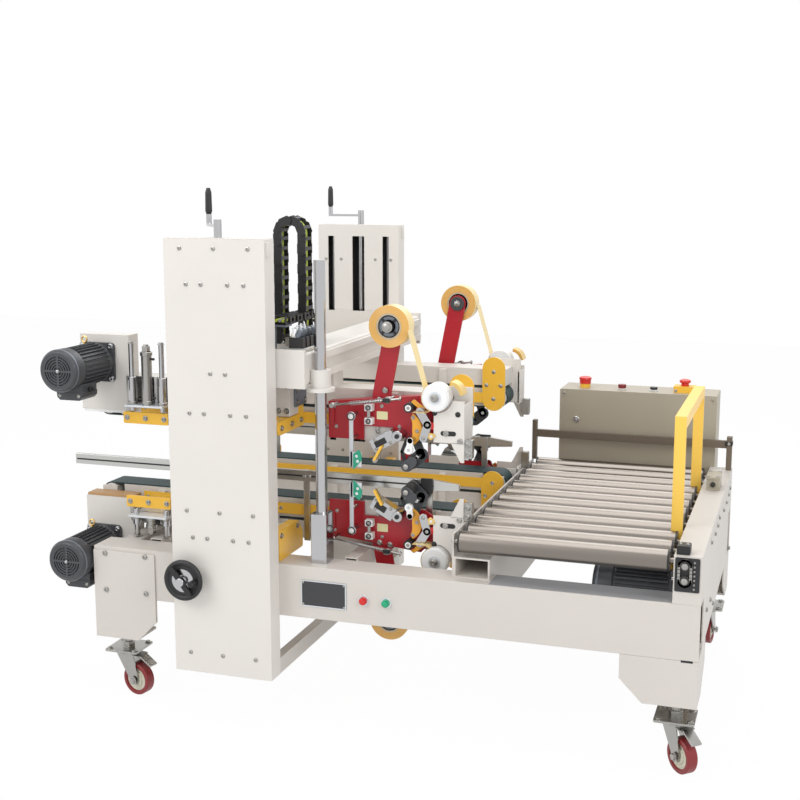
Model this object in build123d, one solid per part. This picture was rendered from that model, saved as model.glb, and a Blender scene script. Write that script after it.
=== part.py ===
from build123d import *
import os
from math import cos, sin, radians

# Carton sealing machine with four tape heads, a lifting gantry and a powered roller infeed table.
# Millimetres. x runs along the belts towards the roller table, y away from the operator, z up.
# Lengths below are set out from the axis of the two columns, the mid-plane between them and the floor.
# The last section moves everything so that the origin is the centre of the floor area.

# Base frame
frame_half_width = 551.0      # mid-plane to the outer face of a side beam
frame_left = -458.0           # column axis to the left end of the frame
frame_right = 1350.0          # column axis to the right end of the frame
beam_bottom = 330.0
beam_height = 155.0
beam_depth = 100.0
beam_sheet = 5.0
beam_lip = 20.0
end_rail_width = 60.0
end_rail_gap = 8.0            # from the drive brackets to the left rail
leg_foot_length = 145.0       # along the beam, at the foot
leg_top_length = 208.0        # along the beam, where it meets the beam
leg_foot_depth = 106.0        # across the frame, at the foot
leg_top_depth = 205.0
leg_bottom = 198.0
leg_taper_top = 262.0         # height at which the taper ends
leg_sheet = 5.0
foot_plate = 8.0
support_tubes_x = (-300.0, 340.0)
support_tube_height = 50.0

# Columns
column_width = 309.0
column_depth = 64.0
column_bottom = 150.0
column_height = 1270.0
column_sheet = 4.0
slot_bottom = 620.0
slot_top_margin = 40.0
screw_slot_width = 46.0
rod_slot_width = 24.0
rod_slot_offset = 105.0
base_rail_height = 48.0
base_rail_width = 30.0

# Lifting screws, cranks and guide rods
screw_diameter = 24.0
screw_journal = 16.0
column_rod_diameter = 16.0
crank_radius = 118.0
crank_hub_diameter = 22.0
crank_hub_height = 52.0
crank_arm_width = 16.0
crank_arm_thickness = 8.0
crank_grip_diameter = 20.0
crank_grip_length = 74.0
crank_neck = 34.0
front_crank_angle = 128.0     # degrees from +x
rear_crank_angle = 180.0
guide_rod_x = 264.0
guide_rod_y = -485.0
guide_rod_diameter = 34.0
guide_rod_top = 1360.0
guide_block = (48.0, 60.0, 146.0)

# Belt units
belt_mid_y = 255.0            # mid-plane to the middle of a belt
belt_width = 84.0
belt_left = -574.0
belt_right = 645.0
belt_thickness = 4.0
pulley_radius = 30.0
lower_belt_top = 620.0
carton_height = 220.0         # opening between the lower and upper belts
belt_frame_height = 55.0
belt_frame_gap = 5.0
belt_frame_sheet = 4.0
belt_side_gap = 2.0           # between the edge of a belt and its frame
side_post = 12.0              # thickness of the posts beside a belt
slide_gap = 0.4               # between a belt and its slide bed
guard_sheet = 4.0
guard_height = 34.0
pill_width = 76.0
pill_height = 178.0

# Gantry
gantry_left = 115.0
gantry_right = 240.0
gantry_bottom = 1010.0
gantry_height = 90.0
gantry_wall = 6.0
carriage_plate = 12.0
carriage_left = -140.0
carriage_gap = 6.0
rail_width = 20.0
rail_depth = 12.0

# Cable chain on the gantry
chain_x = 80.0                # middle of the rising run
chain_y = -330.0
chain_pitch = 29.0
chain_height = 26.0
chain_width = 54.0
chain_lap = 7.0               # how far a cheek runs past the joint
chain_cheek = 3.0
chain_side_gap = 0.3
chain_bar = 10.0
chain_rise_links = 11
chain_bend_links = 4

# Drive motors
motor_x = -529.0
motor_lift = 292.0            # height of a motor axis from the middle of the carton opening
motor_diameter = 128.0
motor_front = -595.0          # face of the fan cowl
motor_flange = -368.0
motor_fin_depth = 5.0
motor_fins = 28
terminal_box = (84.0, 84.0, 46.0)
drive_box = (-592.0, -420.0)  # left and right side of the drive bracket
drive_box_height = 238.0

# Tape heads
head_y = -415.0               # front face of the head plate
head_plate = 6.0
roll_x = 437.0
roll_lift = 438.0             # roll axis from the middle of the carton opening
roll_diameter = 122.0
roll_width = 50.0
roll_core = 76.0
roll_core_wall = 5.0
drum_x = 580.0
head_arms_x = (330.0, 490.0)
end_plate_left = 556.0
drum_lift = 241.0
drum_diameter = 82.0
drum_width = 50.0
press_roller_x = 497.0
press_roller_lift = 38.0
press_roller_diameter = 34.0
press_roller_width = 52.0

# Roller table
table_left = 665.0
table_inner_right = 1276.0
table_top = 616.0
roller_count = 12
roller_pitch = 92.0
roller_diameter = 60.0
roller_gap = 14.0
roller_shaft = 15.0
fit = 0.05
sprocket_diameter = 34.0
sprocket_width = 6.0
chain_gap = 0.5
chain_thickness = 4.0
table_sheet = 5.0

table_motor_y = -383.0
table_motor_z = 465.0
table_motor_left = 1046.0

# Pusher
pusher_x = 1254.0
pusher_width = 32.0
pusher_plate = 10.0
pusher_top = 935.0
pusher_rail_height = 34.0
pusher_travel = 450.0
pusher_rod_diameter = 20.0
pusher_rod_spacing = 180.0
pusher_rod_z = 505.0
pusher_cylinder_diameter = 40.0

# Control cabinet, guard rail, handwheel
cabinet_left = 752.0
cabinet_right = 1290.0
cabinet_front = 552.0
cabinet_depth = 150.0
cabinet_bottom = 578.0
cabinet_top = 859.0
cabinet_sheet = 2.0
cabinet_door = 18.0
guard_rail_y = 512.0
guard_rail_z = 690.0
guard_rail_height = 26.0
guard_rail_depth = 14.0
handwheel_x = -104.0
handwheel_z = 439.0
handwheel_diameter = 122.0
handwheel_rim = 17.0
handwheel_reach = 34.0
handwheel_shaft = 14.0
guide_bar_left = -645.0
guide_bar_right = 634.0
guide_bar_z = 682.0
guide_bar_height = 33.0
guide_bar_thickness = 14.0
guide_stand_off = 26.0        # from the side of the belt frame
guide_nose = 75.0
guide_posts_x = (-230.0, 150.0, 540.0)

# Casters
caster_wheel_diameter = 100.0
caster_wheel_width = 32.0
caster_trail = 36.0
caster_plate = 110.0
caster_plate_sheet = 6.0
caster_plate_top = 150.0
caster_left_x = -388.0
caster_right_x = 1290.0
caster_y = 485.0
caster_axle = 12.0
fork_sheet = 4.0
fork_gap = 3.0
running_gap = 0.5

mid_height = lower_belt_top + carton_height / 2
beam_top = beam_bottom + beam_height
unit_half_width = belt_width / 2 + belt_side_gap
column_top = column_bottom + column_height
column_axis_y = frame_half_width + column_depth / 2
upper_belt_bottom = lower_belt_top + carton_height
pulley_z = upper_belt_bottom + belt_thickness + pulley_radius
belt_crown = upper_belt_bottom + 2 * (belt_thickness + pulley_radius)
belt_frame_bottom = belt_crown + belt_frame_gap
belt_frame_top = belt_frame_bottom + belt_frame_height
gantry_top = gantry_bottom + gantry_height
roller_first_y = -(roller_count - 1) * roller_pitch / 2
roller_z = lower_belt_top - 2 - roller_diameter / 2
parts = {}


def block(x0, x1, y0, y1, z0, z1):
    return Pos((x0 + x1) / 2, (y0 + y1) / 2, (z0 + z1) / 2) * Box(abs(x1 - x0), abs(y1 - y0), abs(z1 - z0))


def rod_x(diameter, x0, x1, y, z):
    return Pos((x0 + x1) / 2, y, z) * Rot(0, 90, 0) * Cylinder(diameter / 2, abs(x1 - x0))


def rod_y(diameter, x, y0, y1, z):
    return Pos(x, (y0 + y1) / 2, z) * Rot(90, 0, 0) * Cylinder(diameter / 2, abs(y1 - y0))


def rod_z(diameter, x, y, z0, z1):
    return Pos(x, y, (z0 + z1) / 2) * Cylinder(diameter / 2, abs(z1 - z0))


def plate_xz(points, y0, y1, corner=0):
    # A flat plate cut to an outline in the x, z plane.
    face = make_face(Polyline(*points, close=True))
    if corner:
        face = fillet(face.vertices(), corner)
    solid = extrude(Plane.XZ * face, y1 - y0, dir=(0, 1, 0))
    return Pos(0, y0, 0) * solid


def far(shape):
    # The same piece on the other side of the mid-plane.
    return mirror(shape, about=Plane.XZ)


def under(shape):
    # The same piece below the carton.
    return mirror(shape, about=Plane.XY.offset(mid_height))


def node(name, *shapes):
    parts[name] = Compound(children=[solid for shape in shapes for solid in shape.solids()])


def side_beam():
    # Bent channel with its open side to the middle of the machine.
    y = -frame_half_width
    outer = block(frame_left, frame_right, y, y + beam_depth, beam_bottom, beam_top)
    hollow = block(frame_left - 1, frame_right + 1, y + beam_sheet, y + beam_depth - beam_sheet,
                   beam_bottom + beam_sheet, beam_top - beam_sheet)
    mouth = block(frame_left - 1, frame_right + 1, y + beam_depth - 2 * beam_sheet, y + beam_depth + 1,
                  beam_bottom + beam_lip, beam_top - beam_lip)
    return outer - hollow - mouth


def leg(x_end, direction):
    # Corner leg: an end sheet and a side sheet that both taper to the foot, on a foot plate.
    y = -frame_half_width

    def solid(inset):
        def across(length):
            return x_end + direction * length
        side = [(across(inset), leg_bottom), (across(leg_foot_length), leg_bottom),
                (across(leg_top_length), leg_taper_top), (across(leg_top_length), beam_bottom),
                (across(inset), beam_bottom)]
        end = [(y + inset, leg_bottom), (y + leg_foot_depth, leg_bottom),
               (y + leg_top_depth, leg_taper_top), (y + leg_top_depth, beam_bottom), (y + inset, beam_bottom)]
        side_prism = plate_xz(side, y - 1, y + leg_top_depth + 1)
        end_face = Plane.YZ * make_face(Polyline(*end, close=True))
        reach = leg_top_length + 1
        end_prism = Pos(x_end + direction * reach / 2, 0, 0) * extrude(end_face, reach / 2 + 1, both=True)
        return side_prism & end_prism

    foot = block(x_end, x_end + direction * leg_foot_length, y, y + leg_foot_depth,
                 leg_bottom, leg_bottom + foot_plate)
    return (solid(0) - solid(leg_sheet)) + foot


def column():
    y_inner = -frame_half_width
    y_outer = y_inner - column_depth
    half = column_width / 2
    s = column_sheet
    shell = block(-half, half, y_outer, y_inner, column_bottom, column_top)
    shell = shell - block(-half + s, half - s, y_outer + s, y_inner - s, column_bottom - 1, column_top - s)
    slot_top = column_top - slot_top_margin
    for x, width in ((0, screw_slot_width), (rod_slot_offset, rod_slot_width), (-rod_slot_offset, rod_slot_width)):
        shell = shell - block(x - width / 2, x + width / 2, y_inner - s - 1, y_inner + 1, slot_bottom, slot_top)
    y = -column_axis_y
    shell = shell - rod_z(screw_journal + 2 * fit, 0, y, column_top - s - 1, column_top + 1)
    return shell


def column_bearing():
    # Cross block near the foot of the slots that carries the screw and the two guide rods.
    y_mid = -column_axis_y
    depth = column_depth - 2 * column_sheet
    half = column_width / 2 - column_sheet
    base = block(-half, half, y_mid - depth / 2, y_mid + depth / 2, slot_bottom - 60, slot_bottom - 30)
    base = base - rod_z(screw_journal + 2 * fit, 0, y_mid, slot_bottom - 61, slot_bottom - 29)
    rods = [rod_z(column_rod_diameter, x, y_mid, slot_bottom - 30, column_top - column_sheet)
            for x in (-rod_slot_offset, rod_slot_offset)]
    return base + rods[0] + rods[1]


def lift_screw():
    y = -column_axis_y
    journal_top = column_top + crank_hub_height
    screw = rod_z(screw_diameter, 0, y, slot_bottom - 30 + running_gap, column_top - column_sheet - running_gap)
    return screw + rod_z(screw_journal, 0, y, slot_bottom - 60, journal_top - 8)


def crank(angle):
    # Hub, flat arm, upright neck and a turned grip.
    base = column_top + running_gap
    top = base + crank_hub_height
    arm_z = top - 22
    hub = Cylinder(crank_hub_diameter / 2, crank_hub_height, align=(Align.CENTER, Align.CENTER, Align.MIN))
    hub = Pos(0, 0, base) * hub
    arm = block(0, crank_radius, -crank_arm_width / 2, crank_arm_width / 2, arm_z, arm_z + crank_arm_thickness)
    end = Pos(crank_radius, 0, arm_z) * Cylinder(
        crank_arm_width / 2, crank_neck, align=(Align.CENTER, Align.CENTER, Align.MIN))
    profile = Plane.XZ * make_face(Polyline(
        (0, 0), (crank_grip_diameter / 2 - 3, 0), (crank_grip_diameter / 2, 8),
        (crank_grip_diameter / 2 - 1, crank_grip_length - 12), (crank_grip_diameter / 2 - 5, crank_grip_length),
        (0, crank_grip_length), close=True))
    grip = Pos(crank_radius, 0, arm_z + crank_neck) * revolve(profile, Axis.Z)
    whole = hub + arm + end + grip
    whole = whole - rod_z(screw_journal, 0, 0, base - 1, top - 8)
    return Pos(0, -column_axis_y, 0) * Rot(0, 0, angle) * whole


def carriage():
    # Plate that runs behind the column slots, with the screw nut and the two rod shoes inside the column.
    y0 = -frame_half_width + carriage_gap
    y_mid = -column_axis_y
    z0, z1 = gantry_bottom - 10, gantry_top + 10
    plate = block(carriage_left, gantry_right, y0, y0 + carriage_plate, z0, z1)
    z_mid = (z0 + z1) / 2
    nut_half = 14.0
    tongue = block(-nut_half, nut_half, y_mid, y0, z_mid - 25, z_mid + 25)
    nut = rod_z(screw_diameter + 22, 0, y_mid, z_mid - 25, z_mid + 25)
    body = plate + tongue + nut
    body = body - rod_z(screw_diameter + 0.6, 0, y_mid, z_mid - 26, z_mid + 26)
    for x in (-rod_slot_offset, rod_slot_offset):
        fin = block(x - 6, x + 6, y_mid, y0, z_mid - 30, z_mid + 30)
        bush = rod_z(column_rod_diameter + 16, x, y_mid, z_mid - 30, z_mid + 30)
        bore = rod_z(column_rod_diameter + 0.6, x, y_mid, z_mid - 31, z_mid + 31)
        body = body + fin + bush - bore
    return body


def gantry_beam():
    y_end = frame_half_width - carriage_gap - carriage_plate
    w = gantry_wall
    outer = block(gantry_left, gantry_right, -y_end, y_end, gantry_bottom, gantry_top)
    outer = fillet(outer.edges().filter_by(Axis.Y), 8)
    inner = block(gantry_left + w, gantry_right - w, -y_end - 1, y_end + 1, gantry_bottom + w, gantry_top - w)
    shelf = block(chain_x - chain_height / 2 - 2, gantry_left + 10, chain_y - chain_width / 2, chain_y + chain_width / 2,
                  gantry_top - 8 - w, gantry_top)
    return outer + shelf - inner


def gantry_rails():
    # Two slide rails along the infeed face of the gantry.
    y = frame_half_width - 40
    return [block(gantry_right, gantry_right + rail_depth, -y + 100, y, z, z + rail_width)
            for z in (gantry_bottom + 8, gantry_top - 8 - rail_width)]


def rod_flange():
    # Bearing housing that steadies the gantry on the chrome rod.
    x0 = gantry_right
    radius = guide_rod_diameter / 2 + 13
    z0 = gantry_bottom - 22
    arm = block(x0 - 60, guide_rod_x, guide_rod_y - 20, guide_rod_y + 20, z0 + 10, z0 + 22)
    collar = rod_z(2 * radius, guide_rod_x, guide_rod_y, z0, z0 + 62)
    flange = rod_z(2 * radius + 22, guide_rod_x, guide_rod_y, z0, z0 + 10)
    body = arm + collar + flange
    cut = block(x0 - 61, x0 + 0.01, guide_rod_y - 60, guide_rod_y + 60, z0 + 22, z0 + 80)
    return body - rod_z(guide_rod_diameter + 0.8, guide_rod_x, guide_rod_y, z0 - 1, z0 + 70) - cut


def belt_loop():
    length = belt_right - belt_left - 2 * (pulley_radius + belt_thickness)
    mid = (belt_left + belt_right) / 2
    outer = SlotCenterToCenter(length, 2 * (pulley_radius + belt_thickness))
    inner = SlotCenterToCenter(length, 2 * pulley_radius)
    ring = extrude(Plane.XZ * (outer - inner), belt_width / 2, both=True)
    return Pos(mid, -belt_mid_y, pulley_z) * ring


def belt_frame():
    # Box beam over the belt, end cheeks that hold the pulleys, the pulleys and the slide bed with its posts.
    y0, y1 = -belt_mid_y - unit_half_width, -belt_mid_y + unit_half_width
    z0, z1 = belt_frame_bottom, belt_frame_top
    s = belt_frame_sheet
    x0, x1 = belt_left + 60, belt_right - 60
    body = block(x0, x1, y0, y1, z0, z1) - block(x0 - 1, x1 + 1, y0 + s, y1 - s, z0 + s, z1 - s)
    for x in (belt_left + pulley_radius + belt_thickness, belt_right - pulley_radius - belt_thickness):
        for y in (y0 - side_post, y1):
            body = body + block(x - 26, x + 26, y, y + side_post, pulley_z - 24, z1)
        body = body + block(x - 26, x + 26, y0, y1, z0, z1)
        body = body + rod_y(2 * pulley_radius - 2 * slide_gap, x, y0, y1, pulley_z)
    half = pulley_radius - slide_gap
    bed = block(x0 + 20, x1 - 20, y0, y1, pulley_z - half, pulley_z + half)
    body = body + (bed - block(x0 + 19, x1 - 19, y0 + s, y1 - s, pulley_z - half + s, pulley_z + half - s))
    for x in (belt_left + 220, (belt_left + belt_right) / 2, belt_right - 220):
        for y in (y0 - side_post, y1):
            body = body + block(x - 12, x + 12, y, y + side_post, pulley_z - 20, z1 - 6)
    end_plate = block(end_plate_left, belt_right + 20, y0 - side_post, y0 - side_post + 6,
                      pulley_z - 30, mid_height + drum_lift + 20)
    return body + end_plate


def side_guards():
    # Yellow strips that close the side of the belt between its two runs.
    z0, z1 = pulley_z - guard_height / 2, pulley_z + guard_height / 2
    x0, x1 = belt_left + 70, belt_right - 70
    outer_y = -belt_mid_y - unit_half_width - side_post
    inner_y = -belt_mid_y + unit_half_width + side_post
    near = block(drive_box[1] + 5, x1, outer_y - guard_sheet, outer_y, z0, z1)
    inner = block(x0, x1, inner_y, inner_y + guard_sheet, z0, z1)
    return [near, inner]


def pill_guard():
    x = belt_right - pulley_radius - belt_thickness - 10
    y0 = -belt_mid_y + unit_half_width + side_post
    shape = SlotOverall(pill_height, pill_width, rotation=90)
    z = upper_belt_bottom - 8 + pill_height / 2
    plate = extrude(Plane.XZ * shape, 3, both=True)
    return Pos(x, y0 + 3, z) * plate


def drive_bracket():
    # Folded box between the gear motor flange and the belt frame.
    x0, x1 = drive_box
    y0, y1 = motor_flange, -belt_mid_y - unit_half_width - side_post
    z0 = upper_belt_bottom + 30
    z1 = z0 + drive_box_height
    shell = block(x0, x1, y0, y1, z0, z1)
    return shell - block(x0 + 5, x1 - 5, y0 + 5, y1 + 1, z0 + 5, z1 - 5)


def gear_motor(x, z, y_front, y_flange):
    # Finned housing of revolution with a round fan cowl, a square flange and a terminal box below.
    r = motor_diameter / 2
    cowl = 52.0
    flange = 10.0
    profile = Plane.XZ * make_face(Polyline(
        (0, 0), (r - 8, 0), (r, 8), (r, cowl), (r - 6, cowl + 3), (r - 6, y_flange - y_front - flange),
        (0, y_flange - y_front - flange), close=True))
    body = Rot(-90, 0, 0) * revolve(profile, Axis.Z)
    fin_length = y_flange - y_front - flange - cowl - 20
    slots = []
    for i in range(motor_fins):
        a = 360 * i / motor_fins
        slots.append(Rot(0, a, 0) * block(-2.2, 2.2, cowl + 10, cowl + 10 + fin_length, r - 6 - motor_fin_depth, r + 1))
    body = body - slots
    plate = block(-r + 4, r - 4, y_flange - y_front - flange, y_flange - y_front, -r + 4, r - 4)
    plate = fillet(plate.edges().filter_by(Axis.Y), 12)
    w, d, h = terminal_box
    box = block(-w / 2 + 8, w / 2 + 8, cowl - 6, cowl - 6 + d, -r - h + 18, -r + 18)
    box = fillet(box.edges().filter_by(Axis.Z), 8)
    return Pos(x, y_front, z) * (body + plate + box)


def tape_head():
    # Red side plate with a step for the wiper arms, after its outline in side view.
    z = mid_height
    outline = [(252, z + 212), (330, z + 222), (545, z + 236), (592, z + 190), (592, z + 120), (480, z + 104),
               (340, z + 96), (300, z + 120)]
    plate = plate_xz(outline, head_y, head_y + head_plate, corner=8)
    back = plate_xz(outline, head_y + 70, head_y + 70 + head_plate, corner=8)
    spacers = []
    for x, dz in ((330, 160), (470, 190), (560, 150)):
        spacers.append(rod_y(14, x, head_y + head_plate, head_y + 70, z + dz))
    arm = plate_xz([(395, z + 222), (460, z + 226), (roll_x + 34, z + roll_lift), (roll_x - 34, z + roll_lift)],
                   head_y + 70 + head_plate, head_y + 70 + 2 * head_plate, corner=5)
    return plate, back, spacers, arm


def head_fittings():
    # Steel pieces of a head: mounting bars, wiper arms, spring rod, roll spindle and drum spindle.
    z = mid_height
    y0 = head_y
    bar = block(286, 302, y0 - 14, y0 - 2, z + 20, z + 210)
    stub = block(286, 302, y0 - 2, y0, z + 130, z + 150)
    arm = plate_xz([(482, z + press_roller_lift), (512, z + press_roller_lift), (430, z + 140), (400, z + 140)],
                   y0 + 62, y0 + 68, corner=4)
    shaft = rod_y(12, press_roller_x, y0 + 4, y0 + 62, z + press_roller_lift)
    pin = rod_y(12, 415, y0 + 68, y0 + 70, z + 128)
    spring = rod_x(10, 300, 500, y0 - 12, z + 224)
    eye = rod_y(10, 494, y0 - 12, y0, z + 224)
    return [bar + stub, arm + shaft + pin, spring + eye]


def roll_spindle():
    z = mid_height + roll_lift
    back = head_y + 70 + head_plate
    return rod_y(20, roll_x, back - roll_width - 14, back, z)


def drum():
    z = mid_height + drum_lift
    return rod_y(drum_diameter, drum_x, head_y + 8, head_y + 8 + drum_width, z)


def drum_mount():
    z = mid_height + drum_lift
    y_plate = -belt_mid_y - unit_half_width - side_post
    return rod_y(24, drum_x, head_y + 2, head_y + 8, z) + rod_y(24, drum_x, head_y + 8 + drum_width, y_plate, z)


def press_roller():
    z = mid_height + press_roller_lift
    ring = rod_y(press_roller_diameter, press_roller_x, head_y + 6, head_y + 6 + press_roller_width, z)
    return ring - rod_y(12, press_roller_x, head_y + 5, head_y + 7 + press_roller_width, z)


def tape_roll():
    z = mid_height + roll_lift
    back = head_y + 70 + head_plate - 2
    ring = rod_y(roll_diameter, roll_x, back - roll_width, back, z)
    core = rod_y(roll_core, roll_x, back - roll_width + 6, back - 6, z)
    hub = rod_y(30, roll_x, back - roll_width, back, z)
    web = rod_y(roll_core, roll_x, back - roll_width / 2 - 4, back - roll_width / 2 + 4, z)
    tube = ring - core - rod_y(roll_core - 2 * roll_core_wall, roll_x, back - roll_width - 1, back + 1, z)
    return tube + web + hub - rod_y(20.6, roll_x, back - roll_width - 1, back + 1, z)


def head_bracket():
    # Arms from the belt frame to the head plate.
    y_frame = -belt_mid_y - unit_half_width
    arms = []
    for x in head_arms_x:
        arms.append(block(x - 14, x + 14, head_y + 70 + head_plate, y_frame, belt_frame_bottom + 1,
                          belt_frame_bottom + 21))
    return arms


def roller(index):
    y = roller_first_y + index * roller_pitch
    x0 = table_left + table_sheet + roller_gap
    x1 = table_inner_right - roller_gap
    shell = rod_x(roller_diameter, x0, x1, y, roller_z)
    shell = chamfer(shell.edges().filter_by(GeomType.CIRCLE), 2)
    shaft = rod_x(roller_shaft, table_left - 2, table_inner_right + 40, y, roller_z)
    sprocket = rod_x(sprocket_diameter, table_inner_right + 18, table_inner_right + 18 + sprocket_width, y, roller_z)
    return shell + shaft + sprocket


def table_left_side():
    # Side plate with the roller bearings, on a box rail that rests on the side beams.
    y_end = frame_half_width - 36
    plate = block(table_left, table_left + table_sheet, -y_end, y_end, beam_top, table_top - 6)
    rail = block(table_left + table_sheet, table_left + 108, -y_end, y_end, beam_top, beam_top + 60)
    rail = rail - block(table_left + 2 * table_sheet, table_left + 103, -y_end - 1, y_end + 1,
                        beam_top + table_sheet, beam_top + 55)
    body = plate + rail
    for i in range(roller_count):
        y = roller_first_y + i * roller_pitch
        body = body - rod_x(roller_shaft + 2 * fit, table_left - 1, table_left + table_sheet + 1, y, roller_z)
    return body


def table_right_side():
    # Inverted channel over the chain, with its outer wall flush with the end of the frame.
    y_end = frame_half_width
    s = table_sheet
    outer = block(table_inner_right, frame_right, -y_end, y_end, beam_top, table_top)
    inner = block(table_inner_right + s, frame_right - s, -y_end + s, y_end - s, beam_top - 1, table_top - s)
    body = outer - inner
    for i in range(roller_count):
        y = roller_first_y + i * roller_pitch
        bore = rod_x(roller_shaft + 2 * fit, table_inner_right - 1, table_inner_right + s + 1, y, roller_z)
        body = body - bore
    return body


def drive_chain():
    length = (roller_count - 1) * roller_pitch
    r = sprocket_diameter / 2 + chain_gap
    outer = SlotCenterToCenter(length, 2 * (r + chain_thickness), rotation=90)
    inner = SlotCenterToCenter(length, 2 * r, rotation=90)
    ring = extrude(outer - inner, (sprocket_width - 1) / 2, both=True)
    x = table_inner_right + 18 + sprocket_width / 2
    return Pos(x, 0, roller_z) * Rot(0, 90, 0) * ring


def end_rails():
    # Cross rails at the two ends of the frame, between the channels of the side beams.
    y = frame_half_width - beam_depth
    rails = []
    for x0 in (drive_box[1] + end_rail_gap, frame_right - end_rail_width, table_left + 20):
        tube = block(x0, x0 + end_rail_width, -y, y, beam_bottom, beam_top)
        tube = tube - block(x0 + 5, x0 + end_rail_width - 5, -y - 1, y + 1, beam_bottom + 5, beam_top - 5)
        rails.append(tube)
    return rails


def base_rails():
    # Rails between the feet of the two columns.
    rails = []
    half = column_width / 2
    for x0 in (-half, half - base_rail_width):
        y = frame_half_width
        tube = block(x0, x0 + base_rail_width, -y, y, column_bottom, column_bottom + base_rail_height)
        tube = tube - block(x0 + 3, x0 + base_rail_width - 3, -y - 1, y + 1,
                            column_bottom + 3, column_bottom + base_rail_height - 3)
        rails.append(tube)
    return rails


def unit_supports():
    # Two cross tubes between the side beams that carry the lower belt units.
    y = frame_half_width - beam_depth
    pieces = []
    top = 2 * mid_height - belt_frame_top
    for x in support_tubes_x:
        tube = block(x - 20, x + 20, -y, y, top - support_tube_height, top)
        pieces.append(tube - block(x - 16, x + 16, -y - 1, y + 1, top - support_tube_height + 4, top - 4))
    return pieces


def guide_post():
    w, d, h = guide_block
    foot = block(guide_rod_x - w / 2, guide_rod_x + w / 2, guide_rod_y - d / 2, guide_rod_y + d / 2,
                 beam_top, beam_top + h)
    foot = chamfer(foot.edges().filter_by(Axis.Z), 2)
    foot = foot - rod_z(guide_rod_diameter, guide_rod_x, guide_rod_y, beam_top + 40, beam_top + h + 1)
    return foot


def guide_rod():
    return rod_z(guide_rod_diameter, guide_rod_x, guide_rod_y, beam_top + 40, guide_rod_top)


def chain_link(width):
    # One link of the cable chain: two cheeks with cut corners, a bar above and one below.
    half_length, half_height, corner = chain_pitch / 2 + chain_lap, chain_height / 2, chain_height / 2 - 5
    outline = [(-half_length, -half_height + corner), (-half_length + corner, -half_height),
               (half_length - corner, -half_height), (half_length, -half_height + corner)]
    outline = outline + [(x, -z) for x, z in reversed(outline)]
    body = plate_xz(outline, -width / 2, -width / 2 + chain_cheek)
    body = body + plate_xz(outline, width / 2 - chain_cheek, width / 2)
    for z in (-half_height, half_height - chain_cheek):
        body = body + block(-chain_bar / 2, chain_bar / 2, -width / 2, width / 2, z, z + chain_cheek)
    return body


def cable_chain():
    # Links set along a tall loop: up, round a half circle and down again. Narrow and wide links take
    # turns, so that the cheeks of one lap those of the next.
    z0 = gantry_top + chain_lap
    links = [(chain_x, z0 + chain_pitch * (i + 0.5), 90) for i in range(chain_rise_links)]
    top = z0 + chain_pitch * chain_rise_links
    bend = chain_pitch / (2 * sin(radians(90 / chain_bend_links)))
    for i in range(chain_bend_links):
        a = 180 - 180 * (i + 0.5) / chain_bend_links
        links.append((chain_x + bend + bend * cos(radians(a)), top + bend * sin(radians(a)), a - 90))
    for i in range(chain_rise_links):
        links.append((chain_x + 2 * bend, top - chain_pitch * (i + 0.5), 90))
    wide = chain_link(chain_width)
    narrow = chain_link(chain_width - 2 * chain_cheek - 2 * chain_side_gap)
    return [Pos(x, chain_y, z) * Rot(0, -a, 0) * (narrow if i % 2 else wide)
            for i, (x, z, a) in enumerate(links)]


def pusher():
    # Inverted U of flat bar that stands through two roller gaps on a carriage below the rollers.
    y_near = roller_first_y + 2.5 * roller_pitch
    y_far = -y_near
    x0, x1 = pusher_x - pusher_width / 2, pusher_x + pusher_width / 2
    z0 = pusher_rod_z - 20
    body = block(x0, x1, y_near - pusher_plate / 2, y_far + pusher_plate / 2,
                 pusher_top - pusher_rail_height, pusher_top)
    for y in (y_near, y_far):
        body = body + block(x0, x1, y - pusher_plate / 2, y + pusher_plate / 2, z0, pusher_top - pusher_rail_height)
    carriage_top = roller_z - roller_diameter / 2 - 10
    body = body + block(x0, x1, y_near, y_far, z0, carriage_top)
    for y in (-pusher_rod_spacing / 2, pusher_rod_spacing / 2):
        body = body - rod_x(pusher_rod_diameter + 0.6, x0 - 1, x1 + 1, y, pusher_rod_z)
    return body - rod_x(pusher_cylinder_diameter + 0.8, x0 - 1, x1 + 1, 0, pusher_rod_z)


def pusher_rails():
    x0 = table_left + 108
    rails = [rod_x(pusher_rod_diameter, x0, table_inner_right, y, pusher_rod_z)
             for y in (-pusher_rod_spacing / 2, pusher_rod_spacing / 2)]
    rails.append(rod_x(pusher_cylinder_diameter, x0, table_inner_right, 0, pusher_rod_z))
    return rails


def cabinet():
    # Sheet box, open to the rear, where the door closes it.
    y1 = cabinet_front + cabinet_depth - cabinet_door
    body = block(cabinet_left, cabinet_right, cabinet_front, y1, cabinet_bottom, cabinet_top)
    body = fillet(body.edges().filter_by(Axis.Y), 4)
    t = cabinet_sheet
    return body - block(cabinet_left + t, cabinet_right - t, cabinet_front + t, y1 + 1,
                        cabinet_bottom + t, cabinet_top - t)


def cabinet_door_panel():
    y1 = cabinet_front + cabinet_depth
    panel = block(cabinet_left, cabinet_right, y1 - cabinet_door, y1, cabinet_bottom, cabinet_top)
    return fillet(panel.edges().filter_by(Axis.Y), 4)


def cabinet_arms():
    # Two folded brackets from the rear beam to the cabinet.
    brackets = []
    for x in (cabinet_left + 60, cabinet_right - 100):
        brackets.append(block(x, x + 40, frame_half_width, frame_half_width + 6, beam_bottom + 60, cabinet_bottom))
        brackets[-1] = brackets[-1] + block(x, x + 40, frame_half_width, frame_half_width + 120,
                                            cabinet_bottom - 6, cabinet_bottom)
    return brackets


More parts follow.
